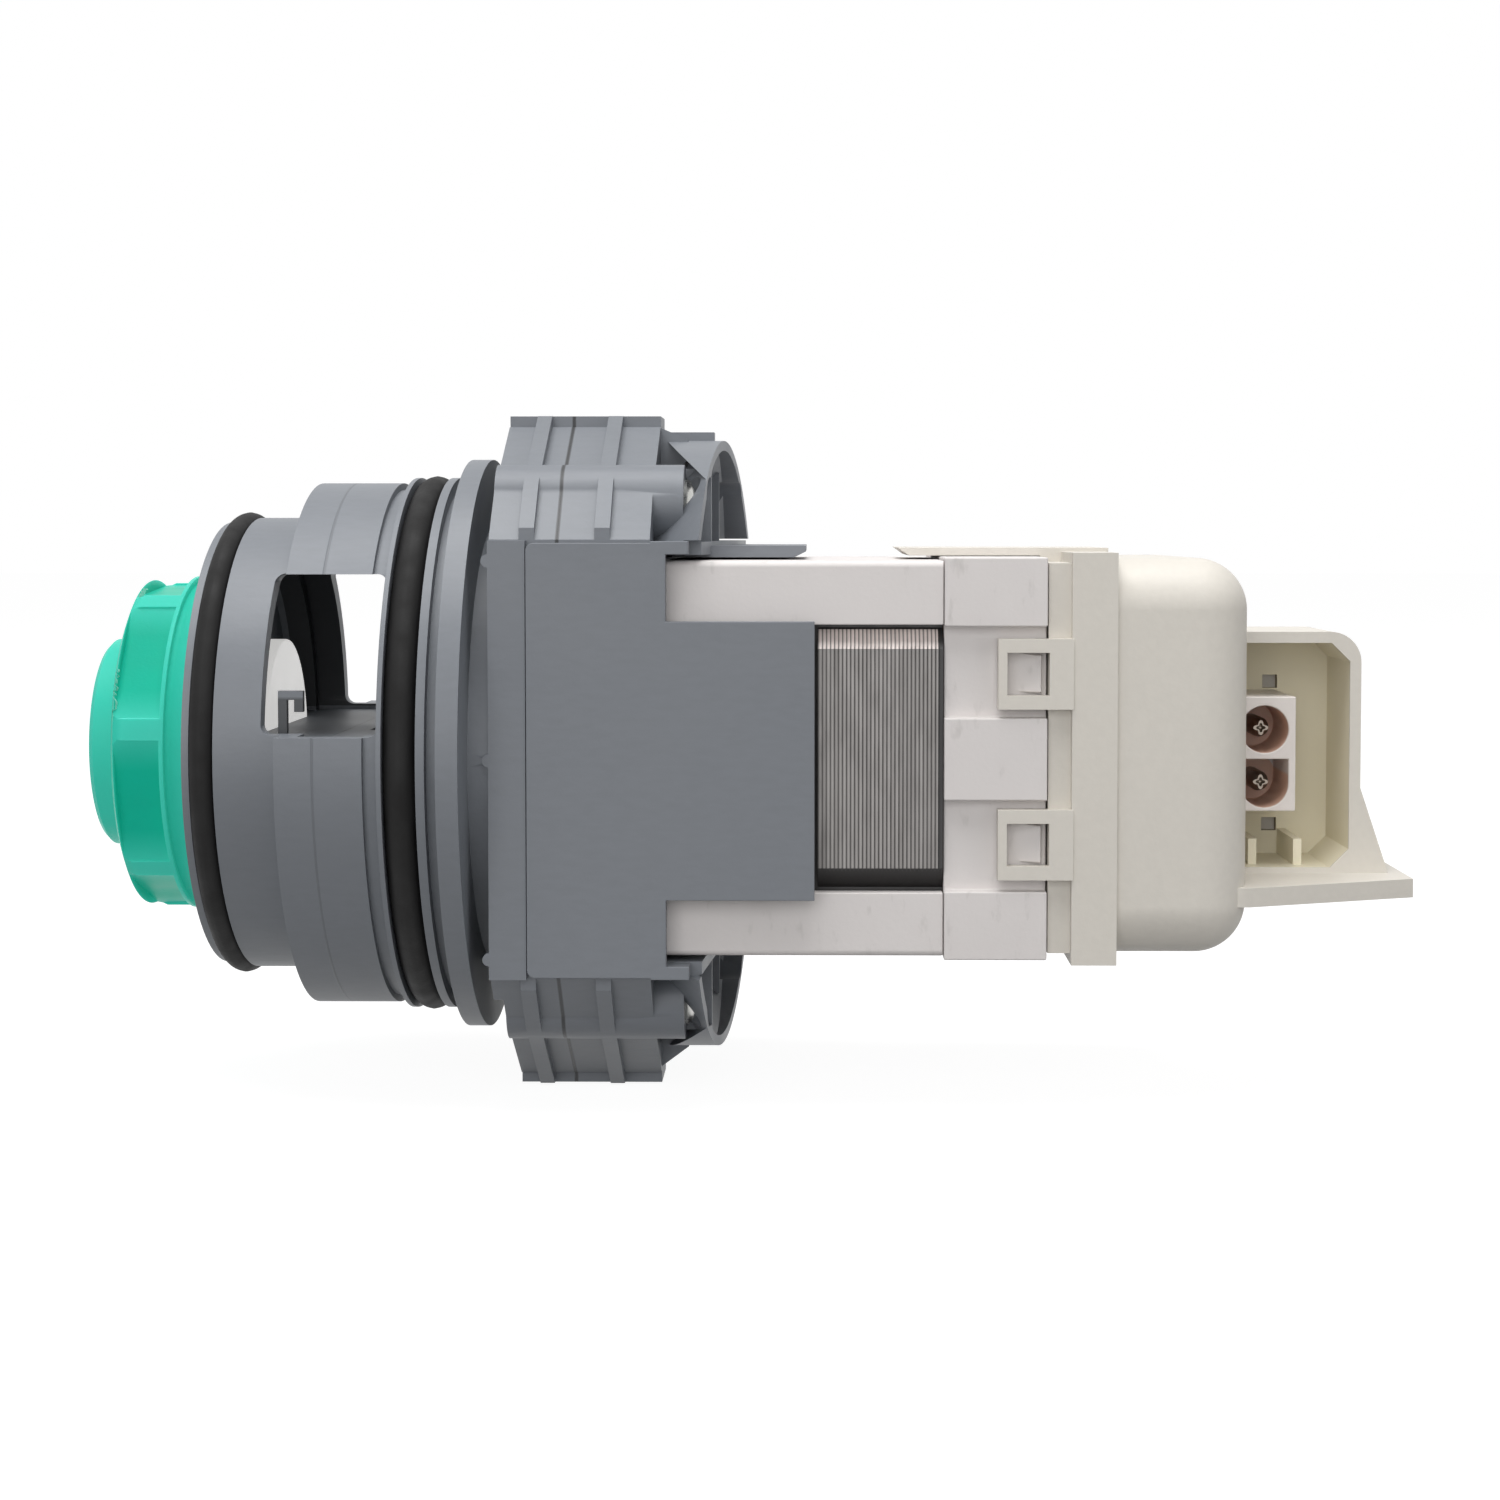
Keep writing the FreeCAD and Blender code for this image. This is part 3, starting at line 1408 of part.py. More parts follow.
# The beige cover: flange, collar and rounded dome, with loops, top strip and connector hood
def build_rear_cover():
    body = new_body("rear_cover")
    dome_width = size("dome_half_width")
    dome_height = size("dome_half_height")
    pad_x(body, "Dome", dome_x - 1, dome_rear_x, centred(dome_width, dome_height))

    def on_dome(first, second):
        lengthwise = along(first, second, "x")
        at_rear = near(first.x, dome_rear_x) and near(second.x, dome_rear_x)
        return lengthwise or at_rear

    round_edges(body, "DomeEdges", size("dome_corner"), on_dome)
    pad_x(body, "Flange", cover_x, collar_x,
          centred(size("cover_flange_half_width"), size("cover_flange_half_height")))
    pad_x(body, "Collar", collar_x, dome_x,
          centred(size("collar_half_width"), size("collar_half_height")))
    add_hood(body)
    wall = size("cover_wall")
    inside_y = size("cover_flange_half_width") - wall
    inside_z = size("cover_flange_half_height") - wall
    cut_x(body, "Inside", cover_x, dome_rear_x - size("dome_corner"), centred(inside_y, inside_z))
    cut_x(body, "InsideEnd", dome_rear_x - size("dome_corner"), dome_rear_x - wall,
          centred(inside_y - size("dome_corner") + wall, inside_z - size("dome_corner") + wall))
    add_loops(body)
    add_top_strip(body)
    return body


def add_hood(body):
    mouth = -size("hood_mouth")
    floor_y = mouth + size("hood_depth")
    back_y = floor_y + size("hood_floor")
    top = size("hood_top")
    bottom = -size("hood_bottom")
    wall = size("hood_wall")
    root_x = dome_rear_x - size("cover_wall") / 2
    pad_y(body, "Hood", mouth, back_y, rectangle(
        root_x, hood_rear_x, bottom - size("join_depth"), top))

    def at_hood_corner(first, second):
        return along(first, second, "y") and near(first.x, hood_rear_x) and near(first.z, top)

    round_edges(body, "HoodCorner", size("hood_corner"), at_hood_corner)
    tray_rear_x = dome_rear_x + size("tray_reach")
    pad_z(body, "Tray", -tray_bottom, bottom, [
        (dome_rear_x - 1.5, -size("tray_near")),
        (dome_rear_x, -size("tray_near")),
        (tray_rear_x, -size("tray_near_end")),
        (tray_rear_x, back_y),
        (dome_rear_x - 1.5, back_y),
    ])
    inner = size("hood_inner_corner")
    left = recess_x
    right = hood_rear_x - wall
    high = top - wall
    low = bottom + 0.7
    cut_y(body, "Recess", mouth, floor_y, [
        (left, low),
        (right - inner, low),
        (right, low + inner),
        (right, high - inner),
        (right - inner, high),
        (left, high),
    ])
    slot_x = recess_x + size("latch_slot_start")
    slot_rear_x = slot_x + size("latch_slot_length")
    upper = size("latch_slot_upper")
    lower = -size("latch_slot_lower")
    tall = size("latch_slot_height")
    cut_y(body, "LatchSlots", floor_y, floor_y + size("latch_slot_depth"),
          rectangle(slot_x, slot_rear_x, upper, upper + tall),
          rectangle(slot_x, slot_rear_x, lower, lower + tall))
    gusset = size("gusset_thickness")
    pad_y(body, "Gusset", mouth, mouth + gusset, [
        (hood_rear_x - 0.3, -size("gusset_top")),
        (hood_rear_x, -size("gusset_top")),
        (hood_rear_x + size("gusset_reach"), bottom),
        (hood_rear_x + size("gusset_reach"), bottom - 0.3),
        (hood_rear_x - 0.3, bottom - 0.3),
    ])
    rib = size("guide_rib_width")
    join = size("join_depth")
    for name, start in (("Left", size("guide_rib_left")), ("Right", size("guide_rib_right"))):
        pad_y(body, "GuideRib" + name, mouth + 3, floor_y + join, rectangle(
            recess_x + start, recess_x + start + rib, low - join, low + size("guide_rib_height")))


def add_loops(body):
    """Snap loops that hook over the catches of the end cap, two on each side."""
    start = cover_x - size("loop_length")
    bar = size("loop_bar")
    rail = size("loop_rail")
    low = size("loop_low")
    high = size("loop_high")
    face = size("cover_flange_half_width") + size("loop_thickness") - 0.3
    inner = size("cap_half_width") + 0.3
    for side, low_y, high_y in (("Near", -face, -inner), ("Far", inner, face)):
        for where, z_low, z_high in (("Top", low, high), ("Bottom", -high, -low)):
            pad_y(body, "Loop" + where + side, low_y, high_y,
                  rectangle(start, collar_x + 0.2, z_low, z_high),
                  rectangle(start + bar, cover_x, z_low + rail, z_high - rail))


def add_top_strip(body):
    low = size("cap_half_height") + 0.1
    high = low + size("strip_thickness")
    start = collar_x - size("strip_length")
    half = size("strip_half_width")
    root = size("cover_flange_half_height") - size("join_depth")
    pad_x(body, "StripRoot", cover_x, collar_x + size("join_depth"), rectangle(-half, half, root, low))
    pad_y(body, "TopStrip", -half, half, [
        (start + size("strip_slope"), low),
        (dome_x + 0.4, low),
        (dome_x + 0.4, high),
        (start, high),
    ])


def build_connector():
    block = new_body("connector_block")
    front_y = -size("hood_mouth") - 0.4
    floor_y = -size("hood_mouth") + size("hood_depth")
    start = recess_x + size("block_gap")
    low = -size("block_low")
    high = size("block_high")
    pad_y(block, "Block", front_y, floor_y, rectangle(start, start + size("block_length"), low, high))
    hole_x = start + size("cavity_inset")
    radius = size("cavity_radius")
    centres = (size("upper_cavity"), -size("lower_cavity"))
    cut_y(block, "Cavities", front_y, front_y + size("cavity_depth"),
          circle(hole_x, centres[0], radius), circle(hole_x, centres[1], radius))
    shoulder = centres[1] + size("cavity_shoulder")
    cut_y(block, "KeyedCavity", front_y, front_y + size("cavity_depth"),
          rectangle(hole_x - radius, hole_x + radius, centres[1], shoulder))
    pins = new_body("contact_pins")
    pin = size("pin_radius")
    pin_end = front_y + size("cavity_depth")
    pad_y(pins, "Pins", pin_end - size("pin_length"), pin_end,
          circle(hole_x, centres[0], pin), circle(hole_x, centres[1], pin))
    cut_y(pins, "PinBores", pin_end - size("pin_length"), pin_end - 1,
          circle(hole_x, centres[0], size("pin_bore")), circle(hole_x, centres[1], size("pin_bore")))


def build_electronics():
    play = size("board_play")
    half_y = size("cover_flange_half_width") - size("cover_wall") - play
    half_z = size("cover_flange_half_height") - size("cover_wall") - play
    board = new_body("circuit_board")
    board_rear_x = board_x + size("board_thickness")
    pad_x(board, "Board", board_x, board_rear_x, centred(half_y, half_z))
    capacitor = new_body("smoothing_capacitor")
    pad_x(capacitor, "Can", board_rear_x, board_rear_x + size("capacitor_length"),
          circle(8.0, -7.0, size("capacitor_radius")))
    chip = new_body("driver_chip")
    half = size("chip_width") / 2
    pad_x(chip, "Chip", board_rear_x, board_rear_x + size("chip_length"),
          rectangle(-12 - half / 2, -12 + half / 2, -half, half))


build_front_housing()
build_rear_housing()
build_gasket()
build_rings()
build_screws()
build_nozzle()
build_insert()
build_bracket()
build_stator_frame()
build_stator_core()
build_windings()
build_rotor()
build_bearings()
build_impeller()
build_seal_and_nut()
build_end_cap()
build_rear_cover()
build_connector()
build_electronics()
doc.recompute()

for item in doc.Objects:
    if "Invalid" in item.State or "Error" in item.State:
        raise RuntimeError("%s did not compute: %s" % (item.Label, item.State))

os.makedirs("parts", exist_ok=True)
for item in doc.Objects:
    if item.TypeId != "PartDesign::Body":
        continue
    if item.Shape.isNull() or not item.Shape.isValid():
        raise RuntimeError("%s has no valid shape" % item.Label)
    item.Shape.exportStep("parts/%s.step" % item.Label)
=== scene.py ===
import math
import random

import bmesh
import bpy
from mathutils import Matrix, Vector


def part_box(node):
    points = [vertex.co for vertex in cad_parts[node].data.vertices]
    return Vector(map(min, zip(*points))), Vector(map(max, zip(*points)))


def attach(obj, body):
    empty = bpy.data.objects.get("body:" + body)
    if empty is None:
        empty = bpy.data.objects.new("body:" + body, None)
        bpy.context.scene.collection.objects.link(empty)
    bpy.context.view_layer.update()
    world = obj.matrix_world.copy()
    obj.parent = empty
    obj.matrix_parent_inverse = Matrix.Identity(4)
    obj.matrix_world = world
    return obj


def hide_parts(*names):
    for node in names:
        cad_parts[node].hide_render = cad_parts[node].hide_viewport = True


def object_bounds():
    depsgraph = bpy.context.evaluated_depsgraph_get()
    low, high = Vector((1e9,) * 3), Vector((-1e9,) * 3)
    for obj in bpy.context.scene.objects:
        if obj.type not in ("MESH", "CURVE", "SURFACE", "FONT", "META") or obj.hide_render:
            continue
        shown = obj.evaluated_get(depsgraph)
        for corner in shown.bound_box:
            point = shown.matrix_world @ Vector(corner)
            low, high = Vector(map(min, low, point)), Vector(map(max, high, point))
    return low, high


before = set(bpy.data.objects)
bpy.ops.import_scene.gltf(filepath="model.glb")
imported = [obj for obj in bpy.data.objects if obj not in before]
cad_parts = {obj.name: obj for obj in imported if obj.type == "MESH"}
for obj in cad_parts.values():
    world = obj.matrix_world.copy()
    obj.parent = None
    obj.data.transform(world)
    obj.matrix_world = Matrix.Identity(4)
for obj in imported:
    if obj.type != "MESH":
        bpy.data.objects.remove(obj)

cad_low, cad_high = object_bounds()


# The studio: a view from the connector's side, slightly above the pump axis, a pale floor under
# the pump, one large soft lamp above, a second from the front and a weak one from the right.

def towards(place, target):
    """The turn that makes a camera or a lamp at one place look at another."""
    return (Vector(target) - Vector(place)).to_track_quat("-Z", "Y").to_euler()


camera_data = bpy.data.cameras.new("studio_view")
camera_data.sensor_width = 36.0
camera_data.lens = 61.44
camera_data.clip_start = 0.01
camera_data.shift_x = -0.0213
camera_data.shift_y = -0.0733
camera = bpy.data.objects.new("studio_view", camera_data)
bpy.context.scene.collection.objects.link(camera)
camera_place = (0.0597, -0.3413, 0.0283)
view_middle = (0.05545, 0.0, 0.0136)
camera.location = camera_place
camera.rotation_euler = towards(camera_place, view_middle)
bpy.context.scene.camera = camera
bpy.context.scene.view_settings.view_transform = "Standard"

pump_middle = (0.05, 0.0, 0.0)


def soft_lamp(name, place, width, power):
    """A square lamp that faces the middle of the pump."""
    data = bpy.data.lights.new(name, "AREA")
    data.size = width
    data.energy = power
    lamp = bpy.data.objects.new(name, data)
    bpy.context.scene.collection.objects.link(lamp)
    lamp.location = place
    lamp.rotation_euler = towards(place, pump_middle)


soft_lamp("lamp_above", (0.0, -0.13, 0.74), 0.60, 6.3)
soft_lamp("lamp_front", (-0.10, -0.85, 0.20), 0.70, 3.2)
soft_lamp("lamp_right", (0.75, -0.45, 0.20), 0.50, 0.8)


def worked(tree, operation, *values):
    """What one operation, such as a product or the greater of two, makes of its values."""
    made = tree.nodes.new("ShaderNodeMath")
    made.operation = operation
    for socket, value in zip(made.inputs, values):
        if isinstance(value, bpy.types.NodeSocket):
            tree.links.new(value, socket)
        else:
            socket.default_value = value
    return made.outputs["Value"]


def seen_rays(tree):
    """1 for the rays that look at a surface or mirror it, 0 for those that light it."""
    rays = tree.nodes.new("ShaderNodeLightPath").outputs
    mirrored = worked(tree, "MAXIMUM", rays["Is Camera Ray"], rays["Is Glossy Ray"])
    return worked(tree, "MAXIMUM", mirrored, rays["Is Transmission Ray"])


def plain_background(tree, strength):
    """White air of one brightness."""
    made = tree.nodes.new("ShaderNodeBackground")
    made.inputs["Color"].default_value = (1.0, 1.0, 1.0, 1.0)
    made.inputs["Strength"].default_value = strength
    return made.outputs["Background"]


room = bpy.data.worlds.new("white_room")
room.use_nodes = True
bpy.context.scene.world = room
air = room.node_tree
air.nodes.remove(air.nodes["Background"])
choice = air.nodes.new("ShaderNodeMixShader")
air.links.new(seen_rays(air), choice.inputs["Fac"])
air.links.new(plain_background(air, 0.28), choice.inputs[1])
air.links.new(plain_background(air, 1.0), choice.inputs[2])
air.links.new(choice.outputs["Shader"], air.nodes["World Output"].inputs["Surface"])


def new_piece(name, mesh, finish):
    """Puts a mesh into the scene with its finish."""
    mesh.materials.append(finish)
    piece = bpy.data.objects.new(name, mesh)
    bpy.context.scene.collection.objects.link(piece)
    return piece


floor_paint = bpy.data.materials.new("pale_floor")
floor_paint.use_nodes = True
floor_tree = floor_paint.node_tree
floor_tree.nodes.remove(floor_tree.nodes["Principled BSDF"])
matt = floor_tree.nodes.new("ShaderNodeBsdfDiffuse")
matt.inputs["Color"].default_value = (0.22, 0.22, 0.22, 1.0)
lift = floor_tree.nodes.new("ShaderNodeEmission")
lift_strength = 0.93
floor_tree.links.new(worked(floor_tree, "MULTIPLY", seen_rays(floor_tree), lift_strength),
                     lift.inputs["Strength"])
both = floor_tree.nodes.new("ShaderNodeAddShader")
floor_tree.links.new(matt.outputs["BSDF"], both.inputs[0])
floor_tree.links.new(lift.outputs["Emission"], both.inputs[1])
floor_tree.links.new(both.outputs["Shader"], floor_tree.nodes["Material Output"].inputs["Surface"])

floor_reach = 4.0
floor_gap = 0.0004
floor_z = cad_low.z - floor_gap
floor_mesh = bpy.data.meshes.new("floor")
floor_mesh.from_pydata(
    [(-floor_reach, -floor_reach, floor_z), (floor_reach, -floor_reach, floor_z),
     (floor_reach, floor_reach, floor_z), (-floor_reach, floor_reach, floor_z)],
    [], [(0, 1, 2, 3)])
new_piece("floor", floor_mesh, floor_paint)


# The outlet nozzle: a stepped, turned form with flats round its rim, injection moulded in slightly
# translucent green plastic and pressed into the front of the spigot. Painted light makes its thin
# rim and front disc paler, and a painted glow stands in for light passing through the plastic.

def linear(red, green, blue):
    """A paint colour named by its screen values, 0 to 255, in the renderer's linear values."""
    values = []
    for part in (red, green, blue):
        share = part / 255.0
        values.append(share / 12.92 if share <= 0.04045 else ((share + 0.055) / 1.055) ** 2.4)
    return (values[0], values[1], values[2], 1.0)


def shade(colour, share):
    """The same colour, darker or lighter."""
    return tuple(min(1.0, part * share) for part in colour[:3]) + (1.0,)


def blank_finish(name, roughness):
    """A new finish, its shader, and the place of each point on the pump."""
    finish = bpy.data.materials.new(name)
    finish.use_nodes = True
    tree = finish.node_tree
    shader = tree.nodes["Principled BSDF"]
    shader.inputs["Roughness"].default_value = roughness
    place = tree.nodes.new("ShaderNodeTexCoord").outputs["Object"]
    return finish, tree, shader, place


def noise(tree, place, size, detail=2.0, stretch=(1.0, 1.0, 1.0)):
    """Soft random grey with features of one size, in metres."""
    scaled = tree.nodes.new("ShaderNodeMapping")
    scaled.inputs["Scale"].default_value = [part / size for part in stretch]
    tree.links.new(place, scaled.inputs["Vector"])
    made = tree.nodes.new("ShaderNodeTexNoise")
    made.inputs["Scale"].default_value = 1.0
    made.inputs["Detail"].default_value = detail
    tree.links.new(scaled.outputs["Vector"], made.inputs["Vector"])
    return made.outputs["Fac"]


def ranged(tree, value, low, high, to_low=0.0, to_high=1.0):
    """Maps a value from one range to another and holds it inside."""
    made = tree.nodes.new("ShaderNodeMapRange")
    made.inputs["From Min"].default_value = low
    made.inputs["From Max"].default_value = high
    made.inputs["To Min"].default_value = to_low
    made.inputs["To Max"].default_value = to_high
    tree.links.new(value, made.inputs["Value"])
    return made.outputs["Result"]


def blended(tree, share, first, second):
    """A colour between two, each a plain colour or another node's."""
    made = tree.nodes.new("ShaderNodeMix")
    made.data_type = "RGBA"
    tree.links.new(share, made.inputs[0])
    for socket, colour in ((made.inputs[6], first), (made.inputs[7], second)):
        if isinstance(colour, bpy.types.NodeSocket):
            tree.links.new(colour, socket)
        else:
            socket.default_value = colour
    return made.outputs[2]


def relief(tree, shader, height, depth, before=None):
    """Raises the surface by a height map, over another relief where there is one."""
    made = tree.nodes.new("ShaderNodeBump")
    made.inputs["Distance"].default_value = depth
    tree.links.new(height, made.inputs["Height"])
    if before is not None:
        tree.links.new(before, made.inputs["Normal"])
    tree.links.new(made.outputs["Normal"], shader.inputs["Normal"])
    return made.outputs["Normal"]


def vector_worked(tree, operation, *values):
    """The same as worked, for places: a place, or a length where the operation measures one."""
    made = tree.nodes.new("ShaderNodeVectorMath")
    made.operation = operation
    for socket, value in zip(made.inputs, values):
        if isinstance(value, bpy.types.NodeSocket):
            tree.links.new(value, socket)
        else:
            socket.default_value = value
    return made.outputs["Value" if operation == "LENGTH" else "Vector"]


def distance_from_line(tree, place, square_to, through=(0.0, 0.0, 0.0)):
    """How far each point is from a line; square_to is 0 for the line's axis, 1 for the others."""
    flat = vector_worked(tree, "MULTIPLY_ADD", place, square_to, [-part for part in through])
    return vector_worked(tree, "LENGTH", flat)


square_to_x = (0.0, 1.0, 1.0)


def green_plastic():
    """Cloudy green with a painted glow, and painted light that makes the thin rim and the front disc
    paler.
    """
    rim_start, rim_end = 0.0206, 0.0224
    disc_end, body_start = 0.0170, 0.0178
    body_green = linear(12, 144, 121)
    painted_light_green = linear(56, 168, 151)
    finish, tree, shader, place = blank_finish("green_plastic", 0.38)
    away = distance_from_line(tree, place, square_to_x)
    # Painted light: the thin rim and the front disc are blended towards a paler green.
    rim = ranged(tree, away, rim_start, rim_end)
    disc = ranged(tree, away, disc_end, body_start, 0.75, 0.0)
    flow = noise(tree, place, 0.006, 3.0, (0.6, 1.0, 1.0))
    clouded = blended(tree, flow, shade(body_green, 0.90), shade(body_green, 1.12))
    colour = blended(tree, worked(tree, "MAXIMUM", rim, disc), clouded, painted_light_green)
    tree.links.new(colour, shader.inputs["Base Color"])
    # Painted glow: the base colour is also emitted, standing in for light passing through the
    # plastic.
    tree.links.new(colour, shader.inputs["Emission Color"])
    shader.inputs["Emission Strength"].default_value = 0.60
    shader.inputs["Specular IOR Level"].default_value = 0.08
    shader.inputs["Subsurface Weight"].default_value = 0.40
    shader.inputs["Subsurface Radius"].default_value = (0.3, 1.0, 0.8)
    shader.inputs["Subsurface Scale"].default_value = 0.0025
    tree.links.new(ranged(tree, flow, 0.3, 0.7, 0.32, 0.46), shader.inputs["Roughness"])
    relief(tree, shader, noise(tree, place, 0.0004), 0.000015)
    return finish


def moulded_form(node, name, edge, finish):
    """A piece with a node's form, each sharp edge rounded off as a mould leaves it."""
    weld_distance = 2e-6
    flat_within = math.radians(0.8)
    sharp_from = math.radians(30.0)
    shape = bmesh.new()
    shape.from_mesh(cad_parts[node].data)
    bmesh.ops.remove_doubles(shape, verts=shape.verts, dist=weld_distance)
    bmesh.ops.dissolve_limit(
        shape, angle_limit=flat_within, verts=shape.verts, edges=shape.edges)
    corners = [tuple(corner.co) for corner in shape.verts]
    faces = [[corner.index for corner in face.verts] for face in shape.faces]
    shape.free()
    mesh = bpy.data.meshes.new(name)
    mesh.from_pydata(corners, [], faces)
    mesh.shade_smooth()
    piece = new_piece(name, mesh, finish)
    rounding = piece.modifiers.new("rounded_edges", "BEVEL")
    rounding.width = edge
    rounding.segments = 2
    rounding.limit_method = "ANGLE"
    rounding.angle_limit = sharp_from
    rounding.use_clamp_overlap = True
    even = piece.modifiers.new("even_faces", "WEIGHTED_NORMAL")
    even.keep_sharp = True
    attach(piece, "housing")
    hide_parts(node)


moulded_form("outlet_nozzle", "nozzle_body", 0.00030, green_plastic())


# The nozzle's flash: two torn scraps of the green plastic that stand on its edges, where the
# mould's halves met. They are thin, so they look almost white.

def torn_flash():
    """Thin green plastic, whitened where it tore."""
    finish, tree, shader, place = blank_finish("torn_flash", 0.5)
    torn = blended(tree, noise(tree, place, 0.0006), linear(120, 218, 196), linear(196, 240, 228))
    tree.links.new(torn, shader.inputs["Base Color"])
    return finish


def flash_ribbon(name, x, radius, start, end, height, seed):
    """A ragged ribbon from one angle to another, rooted just under an edge of that radius."""
    steps = 26
    root = radius - 0.0002
    half_thickness = 0.00010
    wander_reach = 0.00025
    least_rise = 0.25
    chance = random.Random(seed)
    corners = []
    for step in range(steps + 1):
        angle = math.radians(start + (end - start) * step / steps)
        taper = math.sqrt(abs(math.sin(math.pi * step / steps)))
        rise = height * taper * chance.uniform(least_rise, 1.0)
        wander = wander_reach * chance.uniform(-1.0, 1.0)
        for side, reach in ((-1, root), (1, root), (0, radius + rise)):
            corners.append((x + wander + side * half_thickness,
                            reach * math.cos(angle), reach * math.sin(angle)))
    faces = []
    for step in range(steps):
        for side in range(3):
            a = 3 * step + side
            b = 3 * step + (side + 1) % 3
            faces.append((a, b, b + 3, a + 3))
    faces.append((2, 1, 0))
    faces.append((3 * steps, 3 * steps + 1, 3 * steps + 2))
    mesh = bpy.data.meshes.new(name)
    mesh.from_pydata(corners, [], faces)
    piece = new_piece(name, mesh, flash_finish)
    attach(piece, "housing")


flash_finish = torn_flash()
flash_ribbon("nozzle_flash_low", -0.0284, 0.0214, 150.0, 172.0, 0.00045, 3)
flash_ribbon("nozzle_flash_high", -0.0279, 0.0217, 108.0, 118.0, 0.00050, 8)


# The nozzle insert: a small cup moulded in pale plastic, half closed, that is pushed into the
# spigot's front wall behind the nozzle and shows through the suction windows.

def moulded_plastic(name, colour, roughness, grain=0.0005, depth=0.00001, mottle=0.05):
    """Matt moulded plastic: faint flow marks, a fine spark-eroded grain, uneven shine."""
    finish, tree, shader, place = blank_finish(name, roughness)
    flow = noise(tree, place, 0.012, 4.0, (0.7, 1.0, 1.0))
    speck = noise(tree, place, 0.0011, 1.0)
    cloud = blended(tree, flow, shade(colour, 1.0 - mottle), shade(colour, 1.0 + mottle))
    specked = blended(tree, ranged(tree, speck, 0.30, 0.70, 0.0, 0.35), cloud, shade(colour, 0.93))
    tree.links.new(specked, shader.inputs["Base Color"])
    tree.links.new(ranged(tree, flow, 0.3, 0.7, roughness - 0.06, roughness + 0.06),
                   shader.inputs["Roughness"])
    relief(tree, shader, noise(tree, place, grain), depth)
    return finish


insert_white = linear(236, 235, 233)
insert_finish = moulded_plastic("pale_plastic", insert_white, 0.45, mottle=0.02)
insert_shader = insert_finish.node_tree.nodes["Principled BSDF"]
# Painted glow: the cup emits its own white, standing in for light passing through the pale plastic.
insert_shader.inputs["Emission Color"].default_value = insert_white
insert_shader.inputs["Emission Strength"].default_value = 0.60
moulded_form("nozzle_insert", "insert_cup", 0.00025, insert_finish)


# The front housing: spigot with side windows, two ring grooves, flange and the front casing half,
# one moulding in grey glass-filled plastic. A fine parting line runs round the spigot, the joint
# with the rear half is a dark line, and the inside of the spigot lies in its own shade.

grey = linear(112, 116, 122)
parting_x = -0.0008
parting_reach = (0.00006, 0.00020)
casing_joint_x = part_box("rear_housing")[0][0]
joint_reach = (0.00014, 0.00032)
spigot_inside = (0.0275, 0.0276)
hollow_low = (-0.0150, -0.0280, 0.0029)
hollow_high = (0.0126, 0.0280, 0.0280)


def part_of(tree, place, axis):
    """One coordinate of each point."""
    parts = tree.nodes.new("ShaderNodeSeparateXYZ")
    tree.links.new(place, parts.inputs["Vector"])
    return parts.outputs[axis]


def inside_box(tree, place, low, high):
    """1 inside a box, 0 outside."""
    edge_start = 0.996
    middle = [(a + b) / 2.0 for a, b in zip(low, high)]
    half = [(b - a) / 2.0 for a, b in zip(low, high)]
    from_middle = vector_worked(tree, "SUBTRACT", place, middle)
    shares = vector_worked(tree, "ABSOLUTE", vector_worked(tree, "DIVIDE", from_middle, half))
    most = part_of(tree, shares, "X")
    for axis in ("Y", "Z"):
        most = worked(tree, "MAXIMUM", most, part_of(tree, shares, axis))
    return ranged(tree, most, edge_start, 1.0, 1.0, 0.0)


def line_at(tree, place, x, inner, outer):
    """1 on a line round the pump at x, as far as inner to each side, and 0 beyond outer."""
    away = worked(tree, "SUBTRACT", part_of(tree, place, "X"), x)
    return ranged(tree, worked(tree, "ABSOLUTE", away), inner, outer, 1.0, 0.0)


def grey_plastic(name, joint_x=None):
    """Grey plastic with fine glass fibres along the flow; the housing's has its joint and hollow."""
    finish, tree, shader, place = blank_finish(name, 0.46)
    flow = noise(tree, place, 0.015, 4.0, (0.6, 1.0, 1.0))
    fibre = noise(tree, place, 0.0009, 2.0, (0.35, 1.0, 1.0))
    cloud = blended(tree, flow, shade(grey, 0.93), shade(grey, 1.07))
    fibred = blended(tree, ranged(tree, fibre, 0.35, 0.75, 0.0, 0.5), cloud, shade(grey, 0.90))
    line = line_at(tree, place, parting_x, *parting_reach)
    colour = blended(tree, ranged(tree, line, 0.0, 1.0, 0.0, 0.45), fibred, shade(grey, 0.45))
    if joint_x is not None:
        joint = line_at(tree, place, joint_x, *joint_reach)
        colour = blended(
            tree, ranged(tree, joint, 0.0, 1.0, 0.0, 0.95), colour, shade(grey, 0.06))
        away = distance_from_line(tree, place, square_to_x)
        within = ranged(tree, away, *spigot_inside, 1.0, 0.0)
        hollow = worked(
            tree, "MULTIPLY", within, inside_box(tree, place, hollow_low, hollow_high))
        colour = blended(tree, hollow, colour, shade(grey, 0.24))
    tree.links.new(colour, shader.inputs["Base Color"])
    tree.links.new(ranged(tree, flow, 0.3, 0.7, 0.40, 0.52), shader.inputs["Roughness"])
    grain = relief(tree, shader, noise(tree, place, 0.0005), 0.000012)
    relief(tree, shader, line, 0.00005, grain)
    return finish


housing_finish = grey_plastic("grey_plastic", casing_joint_x)
moulded_form("front_housing", "front_casing", 0.00022, housing_finish)


# The two O-rings: moulded black rubber, round in section, with the thin witness line that the
# mould leaves round the outside and the inside. They sit in the spigot's grooves.

